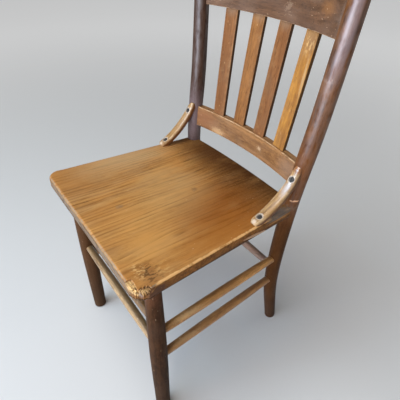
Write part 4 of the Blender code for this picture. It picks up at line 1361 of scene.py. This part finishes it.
def build_stretchers():
    pale_oak = make_stretcher_finish(
        "front_stretcher_oak",
        (0.58, 0.385, 0.190),
        (0.22, 0.125, 0.055),
        (0.34, 0.205, 0.096),
        painted_shade=0.75,
    )
    dark_oak = make_stretcher_finish(
        "shaded_stretcher_oak", (0.24, 0.130, 0.050), (0.09, 0.048, 0.019), (0.16, 0.088, 0.036)
    )
    oak = make_stretcher_finish(
        "stretcher_oak",
        (0.74, 0.370, 0.108),
        (0.28, 0.120, 0.034),
        (0.38, 0.180, 0.064),
        worn_heights=(SIDE_UPPER_HEIGHT, SIDE_LOWER_HEIGHT),
        dark_below=0.45,
    )
    grey_oak = make_stretcher_finish(
        "back_stretcher_oak", (0.42, 0.265, 0.190), (0.20, 0.118, 0.080), (0.27, 0.170, 0.122)
    )
    board = STRETCHER_BOARD
    fronts = (("upper", FRONT_UPPER_HEIGHT, dark_oak), ("lower", FRONT_LOWER_HEIGHT, pale_oak))
    for name, height, finish in fronts:
        ends = (leg_axis(-1, height), leg_axis(1, height))
        stretcher("front_stretcher_" + name, *ends, finish, board)
        board += 1
    for name, height in (("upper", SIDE_UPPER_HEIGHT), ("lower", SIDE_LOWER_HEIGHT)):
        for word, side in SIDES:
            ends = (leg_axis(side, height), post_axis(side, height))
            stretcher(f"side_stretcher_{name}_{word}", *ends, oak, board)
            board += 1
    ends = (post_axis(-1, BACK_STRETCHER_HEIGHT), post_axis(1, BACK_STRETCHER_HEIGHT))
    stretcher("back_stretcher", *ends, grey_oak, board, BACK_STRETCHER_MIDDLE_RADIUS)


# Back rails and slats


def rail_side(low, high, low_round, high_round):
    """One face of a rail's section from its lower edge to its upper, with 1 on each worn edge."""
    half = RAIL_THICKNESS / 2
    turns = np.linspace(0, math.pi / 2, RAIL_SECTION_STEPS)
    bottom = [
        (half - low_round * (1 - math.sin(t)), low + low_round * (1 - math.cos(t)), math.sin(2 * t))
        for t in turns
    ]
    top = [
        (half - high_round * (1 - math.cos(t)), high - high_round * (1 - math.sin(t)), math.sin(2 * t))
        for t in turns
    ]
    flat_low = low + low_round + RAIL_EDGE_BLEND
    flat_high = high - high_round - RAIL_EDGE_BLEND
    flat = [(half, z, 0.0) for z in np.linspace(flat_low, flat_high, RAIL_SECTION_STEPS)]
    return bottom + flat + top


def other_side(face):
    return [(-through, z, edge) for through, z, edge in reversed(face)]


def crest_section(x):
    """The crest rail through its thickness and height, with its slat groove open below."""
    face = rail_side(CREST_BOTTOM, crest_top(x), RAIL_EDGE_ROUND, CREST_EDGE_ROUND)
    half = GROOVE_WIDTH / 2
    groove = [(half, CREST_BOTTOM + GROOVE_DEPTH, 0.0), (half, CREST_BOTTOM, GROOVE_EDGE_WEAR)]
    return groove + face + other_side(face) + other_side(groove)


def lower_section(_x):
    """The lower rail: its slat groove is filled between the slats, and a thin open line is left in front."""
    face = rail_side(LOWER_RAIL_BOTTOM, LOWER_RAIL_TOP, RAIL_EDGE_ROUND, RAIL_EDGE_ROUND)
    front = GROOVE_WIDTH / 2
    deep = LOWER_RAIL_TOP - FILLER_LINE_DEPTH
    line = [
        (front, LOWER_RAIL_TOP, FILLER_LINE_WEAR),
        (front, deep, 0.0),
        (front - FILLER_LINE_WIDTH, deep, 0.0),
        (front - FILLER_LINE_WIDTH, LOWER_RAIL_TOP, 0.0),
    ]
    return face + line + other_side(face)


def bent_rail(name, section, surface, material, board):
    """A bent rail from post to post, its section square to the floor."""
    rings = []
    edges = []
    for share in np.linspace(-1.0, 1.0, RAIL_STEPS):
        ring = []
        for through, z, edge in section(share * RAIL_SECTION_SPREAD):
            x = share * (post_spread(z) + RAIL_PAST_AXIS)
            ring.append((x, surface(x, z) - through, z))
            edges.append(edge)
        rings.append(np.array(ring))
    mesh = ring_mesh(name, rings)
    place = coordinates(mesh)
    store_grain(mesh, place[:, 2], place[:, 1], place[:, 0], board)
    store(mesh, "edge", edges)
    finish_piece(name + "_board", mesh, material, [name], BOARD_SHARP_ANGLE)


def slat_facing(surface, x, z):
    """The way a slat's broad face looks where the bent rail holds it."""
    rise = surface(x + SLOPE_STEP, z) - surface(x - SLOPE_STEP, z)
    slope = rise / (2 * SLOPE_STEP)
    return Vector((slope, -1.0, 0.0)).normalized()


def slat(number, place, material, tone):
    low = LOWER_RAIL_TOP - GROOVE_DEPTH + PLY_GAP
    high = CREST_BOTTOM + GROOVE_DEPTH - PLY_GAP
    foot_x = place * SLAT_BOTTOM_SPACING
    head_x = place * SLAT_TOP_SPACING
    name = f"slat_{number}"
    source = new_object("slat_source", bpy.data.meshes.new("slat_source"))
    mesh = mesh_from_tree(name, source, SLAT_TREE, {
        "Foot": Vector((foot_x, lower_surface(foot_x, low), low)),
        "Head": Vector((head_x, crest_surface(head_x, high), high)),
        "Foot Facing": slat_facing(lower_surface, foot_x, low),
        "Head Facing": slat_facing(crest_surface, head_x, high),
        "Width": SLAT_WIDTH,
        "Thickness": SLAT_THICKNESS,
        "Easing": SLAT_EASING,
        "Steps": SLAT_STEPS,
        "Finish": material,
    })
    spot = coordinates(mesh)
    middle = foot_x + (head_x - foot_x) * (spot[:, 2] - low) / (high - low)
    across = spot[:, 0] - middle
    store_grain(mesh, across, spot[:, 1] * SLAT_GRAIN_SHARE, spot[:, 2], SLAT_BOARD + number)
    store(mesh, "edge", np.abs(across) > SLAT_WIDTH / 2 - SLAT_EASING)
    store(mesh, "tone", np.full(len(spot), tone))
    finish_piece(name + "_board", mesh, material, [name], BOARD_SHARP_ANGLE)


def build_back():
    bent_rail("crest_rail", crest_section, crest_surface, make_crest_finish(), CREST_BOARD)
    bent_rail("lower_rail", lower_section, lower_surface, make_lower_rail_finish(), LOWER_RAIL_BOARD)
    oak = make_slat_finish()
    for number, (place, tone) in enumerate(zip(SLAT_PLACES, SLAT_TONES), 1):
        slat(number, place, oak, tone)


# Hip braces and screws


def drawn_in(side, share):
    """How far the middle of the strip lies from the middle of its untapered width."""
    return np.array([side * brace_taper(share) / 2, 0.0, 0.0])


def screw_point(side, share):
    """The middle of the strip's hollow face where a screw goes in, and the direction into the wood."""
    point, _, into = brace_face(side, share)
    return point - drawn_in(side, share) - into * BRACE_CROWN, into


def clear_of_seat_and_post(side, place):
    """Presses the points of a brace out of the seat below it and the post behind it."""
    place[:, 2] = np.maximum(place[:, 2], seat_top(place[:, 1] - FRONT_Y) + PLY_GAP)
    clear = post_radius(place[:, 2]) + PLY_GAP
    beside = np.abs(place[:, 0] - side * post_spread(place[:, 2]))
    front = post_y(place[:, 2]) - np.sqrt(np.maximum(clear**2 - beside**2, 0.0))
    hidden = (beside < clear) & (place[:, 1] > front)
    place[hidden, 1] = front[hidden]


def brace(side, name, material, board):
    """A bent strip from the seat to the post, flat where it meets the seat and hollowed at the post."""
    rings = []
    edges = []
    wood = []
    reach = BRACE_REACH[side]
    for share in np.linspace(0.0, reach, BRACE_STEPS):
        point, run, into = brace_face(side, share)
        across = np.cross(into, run)
        drop = brace_nose(share / reach)
        thick = BRACE_THICKNESS - drop
        half = brace_half_width(side, share / reach)
        point = point - drawn_in(side, share)
        section, edge = rounded_section(2 * half, thick, BRACE_EASING, BRACE_FLATS, BRACE_EASING_STEPS)
        crown = BRACE_CROWN * (1 - (section[:, 0] / half) ** 2)
        section[:, 1] -= np.where(section[:, 1] < 0, crown, 0.0)
        rings.append(np.array([point + across * a + into * (b + drop + thick / 2) for a, b in section]))
        edges.extend(edge * (section[:, 1] < 0))
        wood.extend([(a, b + thick / 2, share * BRACE_LENGTH) for a, b in section])
    mesh = ring_mesh(name, rings)
    place = coordinates(mesh)
    wood = np.array(wood)
    for share in BRACE_SCREW_SHARES:
        point, into = screw_point(side, share)
        away = np.linalg.norm(place - point, axis=1)
        sunk = np.clip((SCREW_HOLE_RADIUS - away) / SCREW_HOLE_WALL, 0.0, 1.0)
        sunk *= wood[:, 1] < BRACE_THICKNESS / 2
        place += np.outer(sunk * SCREW_HOLE_DEPTH, into)
    clear_of_seat_and_post(side, place)
    set_coordinates(mesh, place)
    store_grain(mesh, *wood.T, board)
    store(mesh, "edge", edges)
    # 1 on the sides and back, which the finish darkens: partly a darker finish, partly painted shade
    store(mesh, "tone", np.clip((wood[:, 1] - BRACE_SIDE_START) / BRACE_SIDE_BLEND, 0.0, 1.0))
    finish_piece(name + "_strip", mesh, material, [name], ROUND_SHARP_ANGLE)


def screw_places(points, facings):
    """Points for the screw tree, each with the way its head faces and its slot lies."""
    mesh = bpy.data.meshes.new("screw_places")
    mesh.from_pydata([tuple(p) for p in points], [], [])
    chance = np.random.default_rng(SEED)
    slots = []
    for facing in facings:
        flat = np.cross(facing, chance.normal(size=3))
        slots.append(flat / np.linalg.norm(flat))
    store(mesh, "facing", facings)
    store(mesh, "slot_along", slots)
    return new_object("screw_places", mesh)


def build_screws(points, facings, nodes, material):
    mesh = mesh_from_tree("brace_screws", screw_places(points, facings), SCREW_TREE, {
        "Head Radius": SCREW_HEAD_RADIUS,
        "Head Depth": SCREW_HEAD_DEPTH,
        "Shank Radius": SCREW_SHANK_RADIUS,
        "Shank Length": BRACE_SCREW_LENGTH - SCREW_HEAD_DEPTH,
        "Slot Size": Vector((4 * SCREW_HEAD_RADIUS, SCREW_SLOT_WIDTH, 2 * SCREW_SLOT_DEPTH)),
        "Finish": material,
    })
    finish_piece("brace_screws", mesh, material, nodes, SCREW_SHARP_ANGLE)


def build_braces():
    oak = make_brace_finish()
    steel = make_steel("screw_steel", (0.105, 0.10, 0.095), (0.030, 0.022, 0.018), 0.48)
    pin_steel = make_steel("pin_steel", (0.26, 0.24, 0.22), (0.08, 0.055, 0.04), 0.40)
    points = []
    facings = []
    nodes = []
    for number, (word, side) in enumerate(SIDES):
        brace(side, "hip_brace_" + word, oak, BRACE_BOARD + number)
        for height, share in zip(("lower", "upper"), BRACE_SCREW_SHARES):
            point, into = screw_point(side, share)
            points.append(point + into * SCREW_SINK)
            facings.append(-into)
            nodes.append(f"brace_screw_{height}_{word}")
    build_screws(points, facings, nodes, steel)
    kept_solids = (("seat_screw_", steel), ("crest_rail_pin_", pin_steel), ("lower_rail_pin_", pin_steel))
    for name, metal in kept_solids:
        for word, _ in SIDES:
            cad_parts[name + word].data.materials.clear()
            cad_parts[name + word].data.materials.append(metal)


# Seat


def on_chair(points):
    """Turns seat plan places (across, back, depth) into the chair's frame."""
    points = np.asarray(points, float)
    tilt = math.atan(SEAT_FALL)
    y = FRONT_Y + points[:, 1] * math.cos(tilt) - points[:, 2] * math.sin(tilt)
    z = SEAT_HEIGHT - points[:, 1] * math.sin(tilt) - points[:, 2] * math.cos(tilt)
    return np.column_stack([points[:, 0], y, z])


def edge_inset(depth):
    """How far the seat's eased edge draws in at this depth below its top."""
    if depth < SEAT_EDGE_ROUND:
        fall = SEAT_EDGE_ROUND - depth
        return SEAT_EDGE_ROUND - math.sqrt(SEAT_EDGE_ROUND**2 - fall**2)
    if depth > SEAT_THICKNESS - SEAT_UNDER_ROUND:
        fall = depth - SEAT_THICKNESS + SEAT_UNDER_ROUND
        return SEAT_UNDER_ROUND - math.sqrt(max(SEAT_UNDER_ROUND**2 - fall**2, 0.0))
    return 0.0


def corner_arc(inset, side, steps):
    """The sound round of a front corner, from the front edge to the side."""
    radius = SEAT_CORNER_RADIUS - inset
    centre_x = SEAT_FRONT_HALF - SEAT_CORNER_RADIUS
    turns = np.linspace(0.0, math.pi / 2, steps)
    return [
        (side * (centre_x + radius * math.sin(t)), SEAT_CORNER_RADIUS - radius * math.cos(t)) for t in turns
    ]


def torn_corner(inset):
    """The ragged line to which the top ply has broken back."""
    line = [(TORN_PLY_EDGE[0][0], inset)]
    chance = np.random.default_rng(SEED)
    for first, second in zip(TORN_PLY_EDGE[:-1], TORN_PLY_EDGE[1:]):
        span = np.subtract(second, first)
        steps = max(int(np.linalg.norm(span) / TORN_EDGE_STEP), 1)
        for step in range(1, steps + 1):
            spot = np.array(first) + span * step / steps + chance.normal(size=2) * TORN_EDGE_JITTER
            line.append((spot[0], max(spot[1], inset)))
    line.append((seat_side(TORN_EDGE_END) - inset, TORN_EDGE_END))
    return line


def chipped_corner(inset):
    """The core's broken corner: the sound round with bites out of it."""
    chance = np.random.default_rng(SEED + 1)
    line = []
    centre = np.array([SEAT_FRONT_HALF - SEAT_CORNER_RADIUS, SEAT_CORNER_RADIUS])
    first_ramp, last_ramp = BREAK_RAMPS
    for step, spot in enumerate(corner_arc(inset, 1, BREAK_STEPS)):
        bite = math.sin(math.pi * min(step / first_ramp, 1) / 2)
        bite *= math.sin(math.pi * min((BREAK_STEPS - 1 - step) / last_ramp, 1) / 2)
        bite *= BREAK_CHIP * (BREAK_CHIP_LEAST + (1 - BREAK_CHIP_LEAST) * chance.random())
        away = np.array(spot) - centre
        line.append(tuple(centre + away * (1 - bite / np.linalg.norm(away))))
    return line


def back_edge(x):
    return SEAT_DEPTH + SEAT_BACK_BOW * (1 - (x / SEAT_BACK_HALF) ** 2)


def post_notch(side, inset):
    """The hollow in a rear corner where the post passes, from the seat's side to its back edge."""
    height = seat_top(SEAT_DEPTH)
    centre = np.array([post_spread(height), post_setback(height)])
    radius = post_radius(height) + PLY_GAP
    side_run = np.linspace(NOTCH_SEARCH_BACK, SEAT_DEPTH, NOTCH_SEARCH_STEPS)
    across = np.linspace(NOTCH_SEARCH_ACROSS, SEAT_BACK_HALF, NOTCH_SEARCH_STEPS)
    beside = np.column_stack([seat_side(side_run) - inset, side_run])
    behind = np.column_stack([across, back_edge(across) - inset])
    ends = []
    for run in (beside, behind):
        away = run[np.argmax(np.linalg.norm(run - centre, axis=1) < radius)] - centre
        turn = math.atan2(away[1], away[0])
        ends.append(turn - 2 * math.pi if turn > 0 else turn)
    turns = np.linspace(*ends, NOTCH_STEPS)
    return [(side * (centre[0] + radius * math.cos(t)), centre[1] + radius * math.sin(t)) for t in turns]


def between(start, stop, steps):
    """Even steps from start to stop without either end."""
    return np.linspace(start, stop, steps)[1:-1]


def seat_outline(inset, near_corner):
    """One level of the seat, from its far front corner along the front and round to the far side."""
    far = corner_arc(inset, -1, CORNER_STEPS)
    near = near_corner(inset)
    near_notch = post_notch(1, inset)
    far_notch = post_notch(-1, inset)
    front = [(x, inset) for x in between(far[0][0], near[0][0], SIDE_STEPS)]
    near_side = [(seat_side(y) - inset, y) for y in between(near[-1][1], near_notch[0][1], SIDE_STEPS)]
    back = [(x, back_edge(x) - inset) for x in between(near_notch[-1][0], far_notch[-1][0], BACK_STEPS)]
    far_side = [(inset - seat_side(y), y) for y in between(far_notch[0][1], far[-1][1], SIDE_STEPS)]
    return np.array(far[::-1] + front + near + near_side + near_notch + back + far_notch[::-1] + far_side)


def ply_rings(depths, insets, near_corner):
    rings = []
    for depth, inset in zip(depths, insets):
        plan = seat_outline(inset, near_corner)
        rings.append(np.column_stack([plan, np.full(len(plan), depth)]))
    return rings


def seat_piece(name, rings, edges, grain, material, board):
    """One layer of the seat; its grain runs across the seat (0) or from front to back (1)."""
    plan = np.concatenate(rings)
    mesh = ring_mesh(name, [on_chair(ring) for ring in rings])
    store_grain(mesh, plan[:, 1 - grain], plan[:, 2], plan[:, grain], board)
    store(mesh, "edge", edges)
    finish_piece(name + "_layer", mesh, material, [name], SEAT_SHARP_ANGLE)
    return mesh


def rim_wear_and_highlight(insets, width):
    return np.exp(-(((np.array(insets) - RIM_INSET) / width) ** 2))


def build_top_ply():
    turns = np.linspace(0.0, 1.0, TOP_EDGE_STEPS)
    depths = [TOP_PLY, *(TOP_PLY * (1 - turns[1:]) ** 2)]
    insets = [edge_inset(depth) for depth in depths]
    depths += [0.0] * len(TOP_INNER_INSETS)
    insets += [SEAT_EDGE_ROUND + inset for inset in TOP_INNER_INSETS]
    rings = ply_rings(depths, insets, torn_corner)
    plan = np.concatenate(rings)
    # The rims' pale lines: partly wear, partly painted highlight
    edges = np.repeat(rim_wear_and_highlight(insets, RIM_WIDTH), len(rings[0]))
    near = np.repeat(rim_wear_and_highlight(insets, NEAR_RIM_WIDTH), len(rings[0]))
    near *= (plan[:, 0] > 0) * (plan[:, 1] > NEAR_RIM_START)
    rear = np.clip((plan[:, 1] - REAR_EDGE_START) / REAR_EDGE_BLEND, 0.0, 1.0)
    finish = make_seat_top_finish()
    mesh = seat_piece("seat_top_ply", rings, edges * (1 - rear), 1, finish, TOP_BOARD)
    store(mesh, "back_edge", edges * rear)
    store(mesh, "near_rim_wear_and_highlight", near * (1 - rear))


def break_depth(x, y):
    """How far the broken corner has lost wood below the core's top, in ridges along the grain."""
    past = np.clip(x - BREAK_START, 0.0, None)
    ridge = np.sin(2 * math.pi * y / BREAK_RIDGE_SPACING + BREAK_RIDGE_SLANT * past)
    rough = BREAK_RIDGE * (1 + ridge) * np.clip((x - BREAK_ROUGH_START) / BREAK_ROUGH_BLEND, 0.0, 1.0)
    return np.where((y < BREAK_BACK) & (x > BREAK_ACROSS), past * BREAK_SLOPE + rough, 0.0)


def build_core():
    top = TOP_PLY + PLY_GAP
    bottom = top + CORE_PLY - 2 * PLY_GAP
    side_depths = [bottom, *CORE_SIDE_DEPTHS, top]
    insets = [*(edge_inset(depth) for depth in side_depths), *CORE_INNER_INSETS]
    depths = side_depths + [top] * len(CORE_INNER_INSETS)
    rings = ply_rings(depths, insets, chipped_corner)
    for ring in rings[1:]:
        lost = top + break_depth(ring[:, 0], ring[:, 1])
        ring[:, 2] = np.maximum(ring[:, 2], np.minimum(lost, bottom - CORE_LEAST))
    wear = [*CORE_SIDE_WEAR, *([CORE_INNER_WEAR] * len(CORE_INNER_INSETS))]
    edges = np.repeat(wear, len(rings[0]))
    seat_piece("seat_core", rings, edges, 0, make_seat_core_finish(), CORE_BOARD)


def build_bottom_ply():
    top = SEAT_THICKNESS - TOP_PLY + PLY_GAP
    depths = [*(SEAT_THICKNESS - lift for lift in BOTTOM_EDGE_LIFTS), top + BOTTOM_TOP_DROP, top]
    insets = [edge_inset(depth) for depth in depths]
    rings = ply_rings(depths, insets, chipped_corner)
    edges = np.repeat(BOTTOM_WEAR, len(rings[0]))
    finish = make_seat_bottom_finish()
    seat_piece("seat_bottom_ply", rings, edges, 1, finish, BOTTOM_BOARD)


def build_splinters():
    """Pale slivers standing along the break."""
    finish = make_break_finish(
        "fresh_break_oak", (0.86, 0.60, 0.28), (0.38, 0.19, 0.060), (0.62, 0.41, 0.22)
    )
    path = path_object(on_chair(SPLINTER_PATH), [1.0] * len(SPLINTER_PATH))
    mesh = mesh_from_tree("corner_splinters", path, SPLINTER_TREE, {
        "Count": SPLINTER_COUNT,
        "Length": SPLINTER_LENGTH,
        "Thickness": SPLINTER_THICKNESS,
        "Seed": SEED,
        "Finish": finish,
    })
    place = coordinates(mesh)
    store_grain(mesh, place[:, 1], place[:, 2], place[:, 0], SPLINTER_BOARD)
    finish_piece("corner_splinters", mesh, finish, ["seat_core"])


def build_loose_strip():
    """The strip of bottom ply that has split off the near side and stands away at its rear end."""
    rings = []
    for share in np.linspace(0.0, 1.0, STRIP_STEPS):
        back = STRIP_START + (STRIP_END - STRIP_START) * share
        depth = STRIP_START_DEPTH + (STRIP_END_DEPTH - STRIP_START_DEPTH) * share
        out = STRIP_STAND_OFF * share**2 + STRIP_GAP
        taper = math.sqrt(max(math.sin(math.pi * (STRIP_TAPER_START + STRIP_TAPER_SPAN * share)), 0.0))
        size = (STRIP_THICKNESS * taper, STRIP_HEIGHT * taper, STRIP_EASING * taper)
        section, _ = rounded_section(*size, STRIP_FLATS, STRIP_EASING_STEPS)
        rings.append(on_chair([(seat_side(back) + out + a, back, depth + b) for a, b in section]))
    mesh = ring_mesh("loose_strip", rings)
    place = coordinates(mesh)
    store_grain(mesh, place[:, 0], place[:, 2], place[:, 1], STRIP_BOARD)
    finish = make_break_finish("peeled_oak", (0.78, 0.52, 0.35), (0.38, 0.200, 0.100), (0.58, 0.35, 0.21))
    finish_piece("loose_strip", mesh, finish, ["seat_bottom_ply"], ROUND_SHARP_ANGLE)


def build_seat():
    build_top_ply()
    build_core()
    build_bottom_ply()
    build_splinters()
    build_loose_strip()


# Stage, light and camera


def make_floor():
    """A plain pale studio floor, kept pale for the camera where the lamps no longer reach."""
    mesh = bpy.data.meshes.new("studio_floor")
    corners = [(-1, -1), (1, -1), (1, 1), (-1, 1)]
    mesh.from_pydata([(x * FLOOR_HALF, y * FLOOR_HALF, 0.0) for x, y in corners], [], [(0, 1, 2, 3)])
    material, nodes, shader = new_material("floor_paper")
    shader.inputs["Base Color"].default_value = (*FLOOR_COLOUR, 1.0)
    shader.inputs["Roughness"].default_value = FLOOR_DULLNESS
    shader.inputs["Specular IOR Level"].default_value = FLOOR_GLOSS
    shader.inputs["Emission Strength"].default_value = 1.0
    place = nodes.add("ShaderNodeTexCoord").outputs["Object"]
    far = nodes.rise(nodes.vector_math("LENGTH", place), FLOOR_LIFT_START, FLOOR_LIFT_END)
    seen = nodes.add("ShaderNodeLightPath").outputs["Is Camera Ray"]
    lift = nodes.blend(nodes.times(far, seen), (0.0, 0.0, 0.0, 1.0), (*FLOOR_LIFT, 1.0))
    nodes.feed(shader.inputs["Emission Color"], lift)
    mesh.materials.append(material)
    floor = new_object("studio_floor", mesh)


def soft_lamp(name, place, target, size, watts, colour, spread):
    data = bpy.data.lights.new(name, "AREA")
    data.shape = "RECTANGLE"
    data.size, data.size_y = size
    data.energy = watts
    data.spread = math.radians(spread)
    data.color = colour
    lamp = new_object(name, data)
    lamp.location = place
    lamp.rotation_euler = (Vector(target) - Vector(place)).to_track_quat("-Z", "Y").to_euler()


def make_sky():
    """A dim sky for light, and a plain wall where the camera looks past the floor."""
    world = bpy.data.worlds.new("studio")
    world.use_nodes = True
    nodes = Nodes(world.node_tree)
    sky = nodes.tree.nodes["Background"]
    sky.inputs["Color"].default_value = (*SKY_COLOUR, 1.0)
    sky.inputs["Strength"].default_value = SKY_STRENGTH
    wall = nodes.add("ShaderNodeBackground", {"Color": (*WALL_COLOUR, 1.0)})
    seen = nodes.add("ShaderNodeLightPath").outputs["Is Camera Ray"]
    shown = nodes.add("ShaderNodeMixShader", {"Fac": seen, 1: sky.outputs[0], 2: wall.outputs[0]})
    nodes.feed(nodes.tree.nodes["World Output"].inputs["Surface"], shown.outputs[0])
    bpy.context.scene.world = world


def make_camera():
    yaw = math.radians(CAMERA_YAW)
    pitch = math.radians(CAMERA_PITCH)
    roll = math.radians(CAMERA_ROLL)
    forward = Vector((-math.sin(yaw) * math.cos(pitch), math.cos(yaw) * math.cos(pitch), -math.sin(pitch)))
    level = Vector((math.cos(yaw), math.sin(yaw), 0.0))
    down = forward.cross(level)
    across = math.cos(roll) * level + math.sin(roll) * down
    below = math.cos(roll) * down - math.sin(roll) * level
    data = bpy.data.cameras.new("photo_view")
    data.sensor_width = SENSOR_WIDTH
    data.lens = CAMERA_LENS
    data.clip_start = CAMERA_NEAREST
    camera = new_object("photo_view", data)
    turn = Matrix((across, -below, -forward)).transposed().to_4x4()
    camera.matrix_world = Matrix.Translation(CAMERA_PLACE) @ turn
    bpy.context.scene.camera = camera


build_seat()
build_uprights()
build_stretchers()
build_back()
build_braces()
make_floor()
make_sky()
for lamp_name, lamp_settings in LAMPS.items():
    soft_lamp(lamp_name, *lamp_settings)
make_camera()
bpy.context.scene.view_settings.view_transform = "Standard"
